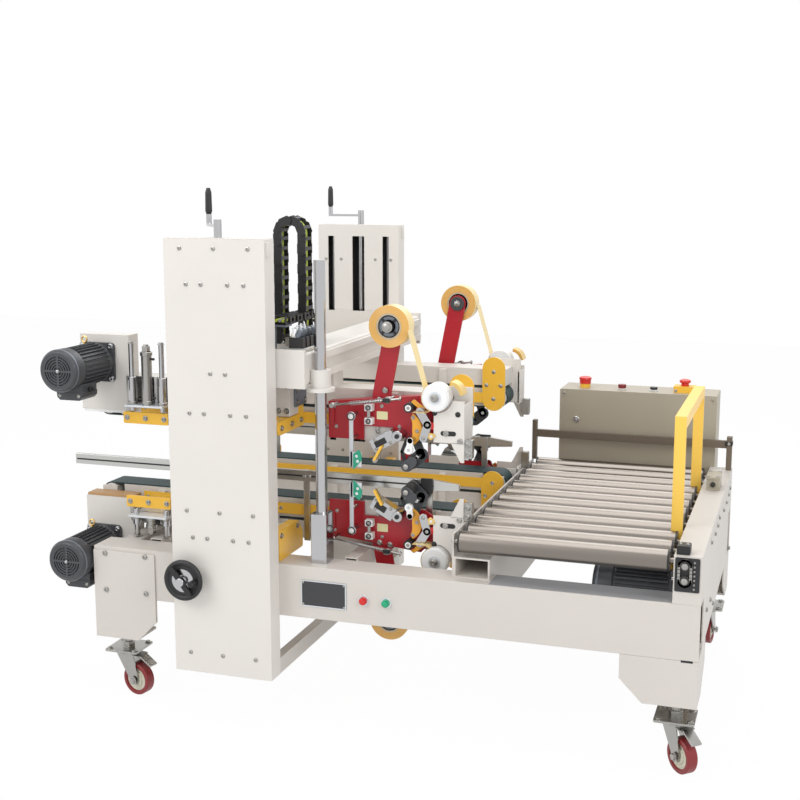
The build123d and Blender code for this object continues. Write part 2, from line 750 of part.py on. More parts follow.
def buttons():
    z = cabinet_top
    y = cabinet_front + 60
    row = [rod_z(36, 830, y, z, z + 14) + rod_z(40, 830, y, z + 14, z + 26)]
    row.append(rod_z(28, 960, y, z, z + 16))
    row.append(rod_z(26, 1070, y, z, z + 12))
    box = block(1140, 1212, y - 26, y + 26, z, z + 22)
    row.append(box + rod_z(26, 1176, y, z + 22, z + 34))
    return row


def beam_buttons():
    y = -frame_half_width
    return [rod_y(22, x, y - 12, y, beam_bottom + 72) for x in (415.5, 483.0)]


def rating_plate():
    y = -frame_half_width
    return block(223.5, 362, y - 1.5, y, beam_bottom + 37, beam_bottom + 115)


def rear_rail():
    y = guard_rail_y
    rail = block(table_left + 15, frame_right - 20, y, y + guard_rail_depth, guard_rail_z,
                 guard_rail_z + guard_rail_height)
    left = block(table_left, table_left + 15, y - 5, y + 19, table_top - 6, guard_rail_z + 60)
    right = block(frame_right - 20, frame_right - 2, y - 5, y + 19, table_top, guard_rail_z + 40)
    return [rail + left + right]


def handwheel():
    # Dished wheel: turned rim, web and hub, with a crank knob.
    r = handwheel_diameter / 2
    web = r - 0.7 * handwheel_rim
    rim = Torus(r - handwheel_rim / 2, handwheel_rim / 2)
    profile = Plane.XZ * make_face(Polyline(
        (0, -8), (16, -8), (16, -2), (web, -3), (web, 4), (18, 6), (14, 14), (0, 14), close=True))
    disc = revolve(profile, Axis.Z)
    knob = Pos(r - 22, 0, 4) * Cylinder(9, 30, align=(Align.CENTER, Align.CENTER, Align.MIN))
    shaft = Pos(0, 0, -handwheel_reach - column_sheet) * Cylinder(
        handwheel_shaft / 2, handwheel_reach + column_sheet, align=(Align.CENTER, Align.CENTER, Align.MIN))
    wheel = rim + disc + knob + shaft
    y = -frame_half_width - column_depth - handwheel_reach
    return Pos(handwheel_x, y, handwheel_z) * Rot(90, 0, 0) * wheel


def carton_guides():
    # Aluminium side guide outside each lower belt, on posts from the belt frame.
    y1 = -belt_mid_y - unit_half_width - guide_stand_off
    y0 = y1 - guide_bar_thickness
    z0 = guide_bar_z
    z1 = z0 + guide_bar_height
    bar = block(guide_bar_left, guide_bar_right - guide_nose, y0, y1, z0, z1)
    nose = plate_xz([(guide_bar_right - guide_nose, z0), (guide_bar_right, z0 + 5), (guide_bar_right, z1 - 9),
                     (guide_bar_right - guide_nose, z1)], y0, y1)
    body = bar + nose
    y_frame = -belt_mid_y - unit_half_width
    z_foot = 2 * mid_height - belt_frame_top
    for x in guide_posts_x:
        body = body + block(x - 10, x + 10, y1, y1 + 6, z_foot, z1)
        body = body + block(x - 10, x + 10, y1, y_frame, z_foot, z_foot + 30)
    return body


def caster_mount(x, y):
    top = caster_plate_top
    half = caster_plate / 2
    plate = block(x - half, x + half, y - half, y + half, top - caster_plate_sheet, top)
    plate = fillet(plate.edges().filter_by(Axis.Z), 8)
    stud = rod_z(24, x, y, top, leg_bottom)
    nut = extrude(Pos(x, y, top) * RegularPolygon(20, 6), 16)
    lock = extrude(Pos(x, y, leg_bottom - 16) * RegularPolygon(20, 6), 16)
    cup = Pos(x, y, top - caster_plate_sheet - 8) * Cylinder(
        38, 8, align=(Align.CENTER, Align.CENTER, Align.MIN))
    body = plate + stud + nut + lock + cup
    return body - rod_z(12 + 2 * fit, x, y, top - 30, top - 2)


def caster_fork(x, y):
    # Swivel disc, two forked cheeks that sweep back to the axle, and the brake pedal.
    z_top = caster_plate_top - caster_plate_sheet - 8 - running_gap
    wheel_r = caster_wheel_diameter / 2
    inner = caster_wheel_width / 2 + fork_gap
    disc = rod_z(74, 0, 0, z_top - 5, z_top)
    king = rod_z(12, 0, 0, z_top, z_top + 12)
    t = caster_trail
    outline = [(-34, z_top - 5), (34, z_top - 5), (t + 16, wheel_r + 8), (t + 10, wheel_r - 14),
               (t - 10, wheel_r - 14), (t - 22, wheel_r + 6)]
    cheeks = plate_xz(outline, inner, inner + fork_sheet) + plate_xz(outline, -inner - fork_sheet, -inner)
    axle = rod_y(caster_axle, t, -inner - fork_sheet - 5, inner + fork_sheet + 5, wheel_r)
    crown = block(-34, 34, -inner - fork_sheet, inner + fork_sheet, z_top - 9, z_top - 5)
    pedal = block(34, t + 20, -inner - fork_sheet, inner + fork_sheet, z_top - 9, z_top - 5)
    pedal = pedal + plate_xz([(t + 18, z_top - 9), (t + 20, z_top - 5), (t + 62, z_top - 30),
                              (t + 60, z_top - 35)], -16, 16)
    body = disc + king + cheeks + axle + crown + pedal
    return body


def caster_wheel():
    r = caster_wheel_diameter / 2
    w = caster_wheel_width / 2
    profile = make_face(Polyline(
        (caster_axle / 2 + fit, -w), (22, -w), (24, -w + 5), (r - 14, -w + 5), (r - 12, -w), (r - 3, -w), (r, -w + 3),
        (r, w - 3), (r - 3, w), (r - 12, w), (r - 14, w - 5), (24, w - 5), (22, w), (caster_axle / 2 + fit, w),
        close=True))
    wheel = revolve(Plane.XZ * profile, Axis.Z)
    return Pos(caster_trail, 0, r) * Rot(90, 0, 0) * wheel


def place_caster(shape, x, y, angle):
    return Pos(x, y, 0) * Rot(0, 0, angle) * shape


# Frame
near_legs = [leg(frame_left, 1), leg(frame_right, -1)]
near_beam = side_beam()
node("side_beams", near_beam, far(near_beam))
node("legs", *near_legs, *[far(shape) for shape in near_legs])
node("cross_members", *end_rails(), *base_rails(), *unit_supports())
near_column = column()
handwheel_bore = rod_y(handwheel_shaft + 2 * fit, handwheel_x, -frame_half_width - column_depth - 1,
                       -frame_half_width - column_depth + column_sheet + 1, handwheel_z)
node("front_column", near_column - handwheel_bore)
node("rear_column", far(near_column))
near_bearing = column_bearing()
node("guide_rods", near_bearing, far(near_bearing), guide_rod() + guide_post())

# Lifting screws, each one piece with its crank
node("crank_front", lift_screw() + crank(front_crank_angle))
node("crank_rear", far(lift_screw() + crank(rear_crank_angle)))

# Gantry
near_carriage = carriage()
node("gantry", gantry_beam() + gantry_rails() + near_carriage + far(near_carriage) + rod_flange())
node("cable_chain", *cable_chain())

# Belt units
hanger = block(gantry_left + 10, gantry_right - 10, -belt_mid_y - 40, -belt_mid_y + 40, belt_frame_top,
               gantry_bottom)
unit_frame = belt_frame() + drive_bracket() + head_bracket()
node("upper_belt_frames", unit_frame + hanger, far(unit_frame + hanger))
node("lower_belt_frames", under(unit_frame), far(under(unit_frame)))
belt = belt_loop()
node("upper_belts", belt, far(belt))
node("lower_belts", under(belt), far(under(belt)))
guards = side_guards() + [pill_guard()]
node("upper_guards", *guards, *[far(shape) for shape in guards])
node("lower_guards", *[under(shape) for shape in guards], *[far(under(shape)) for shape in guards])

# Drive motors
upper_motor = gear_motor(motor_x, mid_height + motor_lift, motor_front, motor_flange)
lower_motor = gear_motor(motor_x, mid_height - motor_lift, motor_front, motor_flange)
node("upper_motors", upper_motor, far(upper_motor))
table_motor = Rot(0, 0, -90) * gear_motor(-table_motor_y, table_motor_z, table_motor_left, table_inner_right)
node("lower_motors", lower_motor, far(lower_motor), table_motor)

# Tape heads
plate, back, spacers, arm = tape_head()
head = plate + back + arm
for spacer in spacers:
    head = head + spacer
node("upper_head_plates", head, far(head))
node("lower_head_plates", under(head), far(under(head)))
fittings = head_fittings() + [roll_spindle(), drum_mount()]
node("upper_head_fittings", *fittings, *[far(shape) for shape in fittings])
node("lower_head_fittings", *[under(shape) for shape in fittings], *[far(under(shape)) for shape in fittings])
rollers = [drum(), press_roller()]
node("upper_head_rollers", *rollers, *[far(shape) for shape in rollers])
node("lower_head_rollers", *[under(shape) for shape in rollers], *[far(under(shape)) for shape in rollers])
roll = tape_roll()
node("tape_roll_upper_near", roll)
node("tape_roll_upper_far", far(roll))
node("tape_roll_lower_near", under(roll))
node("tape_roll_lower_far", far(under(roll)))

# Roller table
node("table_left_side", table_left_side())
node("table_right_side", table_right_side())
for i in range(roller_count):
    node(f"roller_{i + 1:02d}", roller(i))
node("drive_chain", drive_chain())
node("pusher_rails", *pusher_rails())
node("pusher", pusher())

# Controls and small fittings
node("control_cabinet", cabinet() + cabinet_arms())
node("cabinet_door", cabinet_door_panel())
node("push_buttons", *buttons(), *beam_buttons(), rating_plate())
node("rear_guard_rail", *rear_rail())
node("handwheel", handwheel())
node("carton_guides", carton_guides(), far(carton_guides()))

# Casters
corners = {"front_left": (caster_left_x, -caster_y, -12), "front_right": (caster_right_x, -caster_y, -48),
           "rear_left": (caster_left_x, caster_y, 20), "rear_right": (caster_right_x, caster_y, 84)}
node("caster_mounts", *[caster_mount(x, y) for x, y, angle in corners.values()])
fork_shape, wheel_shape = caster_fork(0, 0), caster_wheel()
for name, (x, y, angle) in corners.items():
    node(f"fork_{name}", place_caster(fork_shape, x, y, angle))
    node(f"wheel_{name}", place_caster(wheel_shape, x, y, angle))

# The origin is the centre of the footprint, on the floor
boxes = [shape.bounding_box() for shape in parts.values()]
origin_x = (min(box.min.X for box in boxes) + max(box.max.X for box in boxes)) / 2
origin_y = (min(box.min.Y for box in boxes) + max(box.max.Y for box in boxes)) / 2

os.makedirs("parts", exist_ok=True)
for name, shape in parts.items():
    export_step(Pos(-origin_x, -origin_y, 0) * shape, f"parts/{name}.step")
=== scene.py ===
import math

import bmesh
import bpy
import numpy as np
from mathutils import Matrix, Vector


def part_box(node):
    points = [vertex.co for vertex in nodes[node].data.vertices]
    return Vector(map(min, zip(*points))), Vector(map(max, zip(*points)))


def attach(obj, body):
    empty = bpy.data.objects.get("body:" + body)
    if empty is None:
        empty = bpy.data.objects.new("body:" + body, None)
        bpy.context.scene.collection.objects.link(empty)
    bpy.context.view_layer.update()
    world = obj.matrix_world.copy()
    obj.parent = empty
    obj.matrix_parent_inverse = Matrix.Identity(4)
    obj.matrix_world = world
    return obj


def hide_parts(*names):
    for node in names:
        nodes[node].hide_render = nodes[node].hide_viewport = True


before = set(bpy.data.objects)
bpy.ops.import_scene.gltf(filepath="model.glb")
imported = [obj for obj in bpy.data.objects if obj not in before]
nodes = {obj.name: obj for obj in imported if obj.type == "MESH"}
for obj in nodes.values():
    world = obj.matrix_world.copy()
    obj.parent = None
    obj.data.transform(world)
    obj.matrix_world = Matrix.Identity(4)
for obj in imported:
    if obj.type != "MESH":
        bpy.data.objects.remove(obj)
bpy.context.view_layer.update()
print("frame loaded:", len(nodes), "nodes")

# Every place below is measured in metres from the outer, left, lower corner of the front column.
corner = np.array(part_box("front_column")[0])
# Sizes below are millimetres from the columns' axis, the mid-plane between them and the floor.
zero = corner + np.array((0.1545, 0.615, -0.150))
middle = 730.0              # height half way between the lower and the upper belts


# Camera, floor and light

view = {"offset": (1.75487, -3.19470, 1.42856), "yaw": 18.28, "down": 9.79, "lens": 57.2}


def makeCamera():
    data = bpy.data.cameras.new("viewCamera")
    data.lens = view["lens"]
    data.sensor_width = 36.0
    camera = bpy.data.objects.new("viewCamera", data)
    camera.location = corner + np.array(view["offset"])
    camera.rotation_euler = (math.radians(90 - view["down"]), 0.0, math.radians(view["yaw"]))
    bpy.context.scene.collection.objects.link(camera)
    bpy.context.scene.camera = camera


studio = {
    "floorHalf": 9.0, "floorColor": (0.93, 0.93, 0.93, 1), "background": (1.0, 1.0, 1.0, 1.0), "glow": 0.97,
    "ambient": 0.60, "ambientColor": (0.96, 0.98, 1.0, 1), "aim": (0.0, 0.0, 0.7),
    "lamps": [  # place, size, power
        ((-2.6, -3.6, 3.6), 2.6, 95.0),
        ((3.4, -3.0, 2.6), 2.4, 62.0),
        ((0.4, 2.8, 3.8), 2.8, 60.0),
        ((0.2, -0.4, 4.4), 3.0, 55.0),
    ],
}


def addNode(tree, kind, inputs=(), **settings):
    # Each input is a value or another node's output. Nodes stand in a row in the order they are made.
    node = tree.nodes.new(kind)
    node.location = (220 * len(tree.nodes), 0)
    for key, value in settings.items():
        setattr(node, key, value)
    for key, value in dict(inputs).items():
        if isinstance(value, bpy.types.NodeSocket):
            tree.links.new(value, node.inputs[key])
        else:
            node.inputs[key].default_value = value
    return node


def seenAsBackground(tree):
    # 1 for camera, glossy and transmission rays, 0 for the rays that light the machine.
    rays = addNode(tree, "ShaderNodeLightPath").outputs
    shiny = addNode(tree, "ShaderNodeMath", {0: rays["Is Glossy Ray"], 1: rays["Is Transmission Ray"]},
                    operation="MAXIMUM")
    return addNode(tree, "ShaderNodeMath", {0: rays["Is Camera Ray"], 1: shiny.outputs[0]},
                   operation="MAXIMUM").outputs[0]


def showMix(tree, output, share, first, second):
    # The second shader shows for its share, the first for the rest.
    mix = addNode(tree, "ShaderNodeMixShader", {"Fac": share, 1: first.outputs[0], 2: second.outputs[0]})
    addNode(tree, output, {"Surface": mix.outputs[0]})


def floorPaint():
    # Seen by the camera and in reflections it is the white background, darkened only by shadow.
    material = bpy.data.materials.new("studioFloorPaint")
    material.use_nodes = True
    tree = material.node_tree
    tree.nodes.clear()
    seen = addNode(tree, "ShaderNodeMath", {0: seenAsBackground(tree), 1: studio["glow"]},
                   operation="MULTIPLY")
    showMix(tree, "ShaderNodeOutputMaterial", seen.outputs[0],
            addNode(tree, "ShaderNodeBsdfDiffuse", {"Color": studio["floorColor"]}),
            addNode(tree, "ShaderNodeEmission", {"Color": studio["background"]}))
    return material


def makeStudio():
    half = studio["floorHalf"]
    mesh = bpy.data.meshes.new("studioFloor")
    corners = [(-half, -half, 0), (half, -half, 0), (half, half, 0), (-half, half, 0)]
    mesh.from_pydata(corners, [], [(0, 1, 2, 3)])
    floor = bpy.data.objects.new("studioFloor", mesh)
    bpy.context.scene.collection.objects.link(floor)
    mesh.materials.append(floorPaint())
    world = bpy.data.worlds.new("studioWorld")
    bpy.context.scene.world = world
    world.use_nodes = True
    tree = world.node_tree
    tree.nodes.clear()
    soft = {"Color": studio["ambientColor"], "Strength": studio["ambient"]}
    showMix(tree, "ShaderNodeOutputWorld", seenAsBackground(tree),
            addNode(tree, "ShaderNodeBackground", soft),
            addNode(tree, "ShaderNodeBackground", {"Color": studio["background"]}))
    for i, (place, size, power) in enumerate(studio["lamps"]):
        data = bpy.data.lights.new(f"softLamp{i}", "AREA")
        data.size = size
        data.energy = power
        lamp = bpy.data.objects.new(f"softLamp{i}", data)
        lamp.location = place
        aim = np.array(studio["aim"]) - np.array(place)
        rise = math.atan2(aim[2], math.hypot(aim[0], aim[1]))
        lamp.rotation_euler = (math.pi / 2 + rise, 0, math.atan2(aim[1], aim[0]) - math.pi / 2)
        bpy.context.scene.collection.objects.link(lamp)
    bpy.context.scene.view_settings.view_transform = "Standard"


makeCamera()
makeStudio()
print("camera and studio made")


# Finishes

surface = {"detail": {"slow": 4.0, "fine": 2.0}, "edgeReach": 0.0016, "edgeTurn": (0.98, 0.80),
           "bumpDepth": 0.0004, "smoothest": 0.02}


def mixColours(tree, share, first, second):
    mix = addNode(tree, "ShaderNodeMix", {"Factor": share, "A": first, "B": second}, data_type="RGBA")
    return mix.outputs["Result"]


def finish(name, color, roughness, patch, grain, metallic=0.0, patchScale=5.0, grainScale=260.0,
           roughSpread=0.08, wear=0.0, wearColor=(0.35, 0.33, 0.3), stretch=(1, 1, 1)):
    # Colour drifts by slow patches, roughness by the same patches, bump by a fine grain; edges may take a
    # colour that is worn paint and, where it is lighter than the paint, a painted edge highlight.
    material = bpy.data.materials.new(name)
    material.use_nodes = True
    tree = material.node_tree
    place = addNode(tree, "ShaderNodeTexCoord")
    turn = addNode(tree, "ShaderNodeMapping", {"Scale": stretch, "Vector": place.outputs["Object"]})
    noise = {key: addNode(tree, "ShaderNodeTexNoise", {
        "Vector": turn.outputs[0], "Scale": scale, "Detail": surface["detail"][key]}).outputs["Fac"]
        for key, scale in (("slow", patchScale), ("fine", grainScale))}
    dark, light = ((*(min(1.0, c * (1 + way * patch)) for c in color), 1) for way in (-1, 1))
    last = mixColours(tree, noise["slow"], dark, light)
    # Edge mask from the Bevel node: the edge colour stands for worn paint, and where it is lighter than the
    # paint (motor, red) for a painted highlight.
    if wear:
        edge = addNode(tree, "ShaderNodeBevel", {"Radius": surface["edgeReach"]}, samples=3)
        flat = addNode(tree, "ShaderNodeNewGeometry")
        dot = addNode(tree, "ShaderNodeVectorMath", {0: edge.outputs[0], 1: flat.outputs["Normal"]},
                      operation="DOT_PRODUCT")
        even, sharp = surface["edgeTurn"]
        mask = addNode(tree, "ShaderNodeMapRange", {"Value": dot.outputs["Value"], "From Min": even,
                                                    "From Max": sharp, "To Max": wear})
        last = mixColours(tree, mask.outputs["Result"], last, (*wearColor, 1))
    dull = addNode(tree, "ShaderNodeMapRange", {"Value": noise["slow"],
                                                "To Min": max(surface["smoothest"], roughness - roughSpread),
                                                "To Max": min(1.0, roughness + roughSpread)})
    bump = addNode(tree, "ShaderNodeBump", {"Height": noise["fine"], "Strength": min(1.0, grain * 10),
                                            "Distance": surface["bumpDepth"]})
    shader = tree.nodes["Principled BSDF"]
    shader.inputs["Metallic"].default_value = metallic
    tree.links.new(last, shader.inputs["Base Color"])
    tree.links.new(dull.outputs["Result"], shader.inputs["Roughness"])
    tree.links.new(bump.outputs[0], shader.inputs["Normal"])
    return material


finishes = {  # name, colour, roughness, patches, grain, then what differs from finish's own values
    "beige": ("beigePaint", (0.70, 0.665, 0.62), 0.40, 0.03, 0.03,
              {"grainScale": 420, "wear": 0.25, "wearColor": (0.55, 0.52, 0.47)}),
    "beigeBase": ("baseBeige", (0.60, 0.560, 0.515), 0.42, 0.03, 0.03,
                  {"grainScale": 420, "wear": 0.25, "wearColor": (0.45, 0.42, 0.38)}),
    "cabinet": ("cabinetPaint", (0.40, 0.355, 0.275), 0.42, 0.03, 0.05, {"grainScale": 500}),
    "yellow": ("yellowPaint", (0.88, 0.50, 0.045), 0.36, 0.04, 0.02,
               {"wear": 0.3, "wearColor": (0.5, 0.3, 0.08)}),
    # Red and motor paint: their edge colour is lighter than the paint, a painted edge highlight.
    "red": ("redPaint", (0.42, 0.012, 0.022), 0.30, 0.08, 0.02, {"wear": 0.4, "wearColor": (0.3, 0.12, 0.1)}),
    "motor": ("motorPaint", (0.052, 0.054, 0.060), 0.42, 0.15, 0.05,
              {"wear": 0.5, "wearColor": (0.12, 0.12, 0.13)}),
    "black": ("blackPlastic", (0.012, 0.012, 0.013), 0.45, 0.2, 0.05),
    "rubber": ("blackRubber", (0.018, 0.018, 0.018), 0.7, 0.2, 0.08, {"grainScale": 180}),
    "belt": ("beltCover", (0.018, 0.045, 0.048), 0.6, 0.2, 0.08, {"patchScale": 9, "grainScale": 300}),
    "chrome": ("hardChrome", (0.50, 0.50, 0.51), 0.09, 0.03, 0.004, {"metallic": 1.0, "roughSpread": 0.05}),
    "steel": ("zincSteel", (0.40, 0.39, 0.37), 0.28, 0.1, 0.03, {"metallic": 1.0, "patchScale": 14}),
    "roller": ("rollerSteel", (0.25, 0.224, 0.20), 0.27, 0.08, 0.03,
               {"metallic": 1.0, "grainScale": 90, "stretch": (0.12, 1, 1)}),
    "aluminium": ("millAluminium", (0.56, 0.56, 0.54), 0.30, 0.05, 0.02,
                  {"metallic": 1.0, "stretch": (0.08, 1, 1)}),
    "darkRail": ("darkRail", (0.14, 0.11, 0.08), 0.45, 0.12, 0.03),
    "chainSteel": ("chainSteel", (0.09, 0.085, 0.08), 0.4, 0.2, 0.04, {"metallic": 0.8}),
    "tape": ("tapeRoll", (0.70, 0.40, 0.11), 0.35, 0.08, 0.02),
    "white": ("whitePlastic", (0.82, 0.82, 0.81), 0.4, 0.03, 0.02),
    "redWheel": ("casterTread", (0.23, 0.018, 0.02), 0.4, 0.15, 0.03),
    "redButton": ("redButton", (0.62, 0.02, 0.015), 0.3, 0.05, 0.01),
    "greenButton": ("greenButton", (0.01, 0.35, 0.16), 0.3, 0.05, 0.01),
    "amber": ("amberPlate", (0.78, 0.36, 0.03), 0.4, 0.08, 0.02, {"wear": 0.3}),
    "brass": ("brassBits", (0.80, 0.56, 0.20), 0.3, 0.1, 0.02, {"metallic": 0.9}),
    "paleSteel": ("paleSteel", (0.70, 0.73, 0.76), 0.35, 0.05, 0.02, {"metallic": 0.6}),
    "slate": ("slateRing", (0.16, 0.18, 0.21), 0.4, 0.08, 0.02, {"metallic": 0.3}),
    "card": ("cardCore", (0.50, 0.42, 0.30), 0.75, 0.1, 0.06),
    "tapeFilm": ("tapeFilm", (0.84, 0.66, 0.30), 0.25, 0.05, 0.01, {"stretch": (1, 0.1, 1)}),
    "sticker": ("paleSticker", (0.80, 0.74, 0.42), 0.5, 0.04, 0.02),
    "green": ("greenTab", (0.02, 0.33, 0.20), 0.4, 0.06, 0.02),
    "darkRed": ("darkRedKnob", (0.20, 0.012, 0.015), 0.35, 0.05, 0.02),
    "plate": ("ratingPlate", (0.055, 0.055, 0.058), 0.38, 0.1, 0.03, {"metallic": 0.4}),
    "hub": ("wheelHub", (0.62, 0.60, 0.48), 0.5, 0.08, 0.03),
    "pusherPaint": ("pusherPaint", (0.95, 0.60, 0.10), 0.36, 0.04, 0.02,
                    {"wear": 0.3, "wearColor": (0.5, 0.3, 0.08)}),
    "darkInside": ("darkInside", (0.02, 0.02, 0.022), 0.6, 0.1, 0.04),
    "cableGreen": ("cableGreen", (0.45, 0.52, 0.05), 0.45, 0.1, 0.02),
    "cableGrey": ("cableGrey", (0.30, 0.30, 0.31), 0.5, 0.1, 0.02),
    "clearTube": ("clearTube", (0.72, 0.74, 0.75), 0.2, 0.03, 0.01),
    "wood": ("tanPlate", (0.48, 0.27, 0.11), 0.45, 0.15, 0.04, {"stretch": (0.2, 1, 1)}),
}
paints = {key: finish(*row[:5], **dict(*row[5:])) for key, row in finishes.items()}
print("finishes made:", len(paints))


# CAD nodes: soft edges by modifiers, and a finish for each

nodeFinish = {
    "beige": ["front_column", "rear_column", "gantry", "upper_belt_frames", "lower_belt_frames"],
    "beigeBase": ["side_beams", "legs", "cross_members", "table_left_side", "table_right_side"],
    "chrome": ["guide_rods", "crank_front", "crank_rear", "pusher_rails"],
    "black": ["cable_chain", "handwheel"],
    "belt": ["upper_belts", "lower_belts"],
    "yellow": ["upper_guards", "lower_guards"],
    "pusherPaint": ["pusher"],
    "steel": ["caster_mounts"],
    "chainSteel": ["drive_chain"],
    "cabinet": ["control_cabinet", "cabinet_door"],
    "redButton": ["push_buttons"],
    "darkRail": ["rear_guard_rail"],
    "aluminium": ["carton_guides"],
    "roller": [n for n in nodes if n.startswith("roller_")],
    "redWheel": [n for n in nodes if n.startswith("wheel_")],
}
nodeFinish["steel"] += [n for n in nodes if n.startswith("fork_")]
softEdge = {"beige": 0.0016, "beigeBase": 0.0016, "cabinet": 0.0012, "pusherPaint": 0.0012,
            "aluminium": 0.0012, "darkRail": 0.0012, "yellow": 0.0008, "steel": 0.0006}
edgeRules = {"weld": 0.00002, "flat": math.radians(0.6), "sharp": math.radians(35),
             "bevelFrom": math.radians(50), "segments": 2}


def addBevel(obj, width, angle):
    bevel = obj.modifiers.new("softEdge", "BEVEL")
    bevel.width = width
    bevel.segments = edgeRules["segments"]
    bevel.limit_method = "ANGLE"
    bevel.angle_limit = angle
    return bevel


def dressNode(name, material, width):
    # Weld joins the loose triangles, Decimate clears the seams in flats, Bevel rounds the edges.
    obj = nodes[name]
    obj.data.materials.clear()
    obj.data.materials.append(material)
    obj.data.shade_smooth()
    weld = obj.modifiers.new("weld", "WELD")
    weld.merge_threshold = edgeRules["weld"]
    if width:
        flats = obj.modifiers.new("flats", "DECIMATE")
        flats.decimate_type = "DISSOLVE"
        flats.angle_limit = edgeRules["flat"]
        flats.delimit = {"MATERIAL"}
        addBevel(obj, width, edgeRules["sharp"])
        even = obj.modifiers.new("evenNormals", "WEIGHTED_NORMAL")
        even.keep_sharp = True
    else:
        split = obj.modifiers.new("hardEdge", "EDGE_SPLIT")
        split.split_angle = edgeRules["sharp"]


for key, names in nodeFinish.items():
    for name in names:
        dressNode(name, paints[key], softEdge.get(key, 0))


def paintFaces(name, rules):
    # Each rule is a finish and a test of the faces' middles, in millimetres.
    mesh = nodes[name].data
    corners = np.empty(len(mesh.vertices) * 3)
    mesh.vertices.foreach_get("co", corners)
    loops = np.empty(len(mesh.loops), np.int32)
    mesh.loops.foreach_get("vertex_index", loops)
    starts = np.empty(len(mesh.polygons), np.int32)
    mesh.polygons.foreach_get("loop_start", starts)
    points = (corners.reshape(-1, 3)[loops] - zero) * 1000
    middles = np.add.reduceat(points, starts) / np.diff(np.append(starts, len(loops)))[:, None]
    index = np.zeros(len(starts), np.int32)
    for key, test in rules:
        mesh.materials.append(paints[key])
        index[test(*middles.T)] = len(mesh.materials) - 1
    mesh.polygons.foreach_set("material_index", index)


# The parts within one node are told apart by their places: left plate and buttons, then the cabinet's row.
paintFaces("push_buttons", [
    ("plate", lambda x, y, z: (y < -550) & (x < 380)),
    ("greenButton", lambda x, y, z: (y < -550) & (x > 450)),
    ("darkRed", lambda x, y, z: (y > 0) & (np.abs(x - 960) < 20)),
    ("black", lambda x, y, z: (y > 0) & (np.abs(x - 1070) < 20)),
    ("yellow", lambda x, y, z: (y > 0) & (((np.abs(x - 830) < 30) & (z < 873)) | ((x > 1130) & (z < 882)))),
])
for name in ("crank_front", "crank_rear"):
    paintFaces(name, [("black", lambda x, y, z: z > 1484)])
wheelSize = {"centreLift": 50, "tread": 36,
             "turns": {"front_left": -12, "front_right": -48, "rear_left": 20, "rear_right": 84}}
handwheelHub = {"x": -104, "z": 439, "radius": 33}
for place, turn in wheelSize["turns"].items():
    low, high = (np.array(v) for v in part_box(f"wheel_{place}"))
    cx, cy = (((low + high) / 2 - zero) * 1000)[:2]
    ax, ay = -math.sin(math.radians(turn)), math.cos(math.radians(turn))

    def withinHub(x, y, z, cx=cx, cy=cy, ax=ax, ay=ay):
        # Nearer to the wheel's own axis than the tread: squared distance less the part along the axis.
        along = (x - cx) * ax + (y - cy) * ay
        square = (x - cx) ** 2 + (y - cy) ** 2 + (z - wheelSize["centreLift"]) ** 2 - along ** 2
        return square < wheelSize["tread"] ** 2
    paintFaces(f"wheel_{place}", [("hub", withinHub)])
paintFaces("handwheel", [("chrome", lambda x, y, z: np.hypot(
    x - handwheelHub["x"], z - handwheelHub["z"]) < handwheelHub["radius"])])
print("CAD nodes dressed")


# Surfaces, each a pair of points (millimetres) and faces

def gridFaces(rows, cols, wrapRows=False, wrapCols=False):
    # Each quad joins a point to its next neighbours along both parameters.
    i = np.arange(rows if wrapRows else rows - 1)
    j = np.arange(cols if wrapCols else cols - 1)
    i, j = np.meshgrid(i, j, indexing="ij")
    nextRow, nextCol = (i + 1) % rows, (j + 1) % cols
    corners = (i * cols + j, i * cols + nextCol, nextRow * cols + nextCol, nextRow * cols + j)
    return np.stack(corners, -1).reshape(-1, 4).tolist()


def unit(vector):
    vector = np.asarray(vector, float)
    return vector / np.linalg.norm(vector, axis=-1, keepdims=True)


def turned(profile, centre, axis=(0, 1, 0), sides=24, ring=False):
    # Point = centre + height * axis + radius * (cos a * u + sin a * v): a runs round the axis, radius and
    # height run along the profile, which closes on itself for a ring and else gets flat ends.
    radius, height = np.array(profile, float).T[:, :, None, None]
    w = unit(axis)
    u = unit(np.cross(w, (0.0, 0.0, 1.0) if abs(w[2]) < 0.9 else (0.0, 1.0, 0.0)))
    v = np.cross(w, u)
    a = np.linspace(0, 2 * np.pi, sides, endpoint=False)[None, :, None]
    verts = np.asarray(centre, float) + height * w + radius * (np.cos(a) * u + np.sin(a) * v)
    faces = gridFaces(len(profile), sides, ring, True)
    if not ring:
        last = (len(profile) - 1) * sides
        faces += [list(range(sides)), list(range(last, last + sides))]
    return verts.reshape(-1, 3), faces


def circle(radius, sides=10):
    # Point = radius * (cos a, sin a), with a once round.
    a = np.linspace(0, 2 * np.pi, sides, endpoint=False)
    return np.stack((np.cos(a), np.sin(a)), -1) * radius


def strip(thick, wide):
    # The cross section of a flat strip about its middle.
    return np.array(((-thick, -wide), (thick, -wide), (thick, wide), (-thick, wide))) / 2


def carried(path, section, across=(0, 1, 0)):
    # Point = path + p * u + q * v: p and q are the section, u stands square to the path and to across.
    path, section = np.array(path, float), np.asarray(section, float)
    run = unit(np.gradient(path, axis=0))
    u = unit(np.cross(run, across))[:, None]
    v = np.cross(run[:, None], u)
    verts = path[:, None] + section[None, :, :1] * u + section[None, :, 1:] * v
    count, sides = len(path), len(section)
    faces = gridFaces(count, sides, False, True)
    faces += [list(range(sides)), list(range((count - 1) * sides, count * sides))]
    return verts.reshape(-1, 3), faces


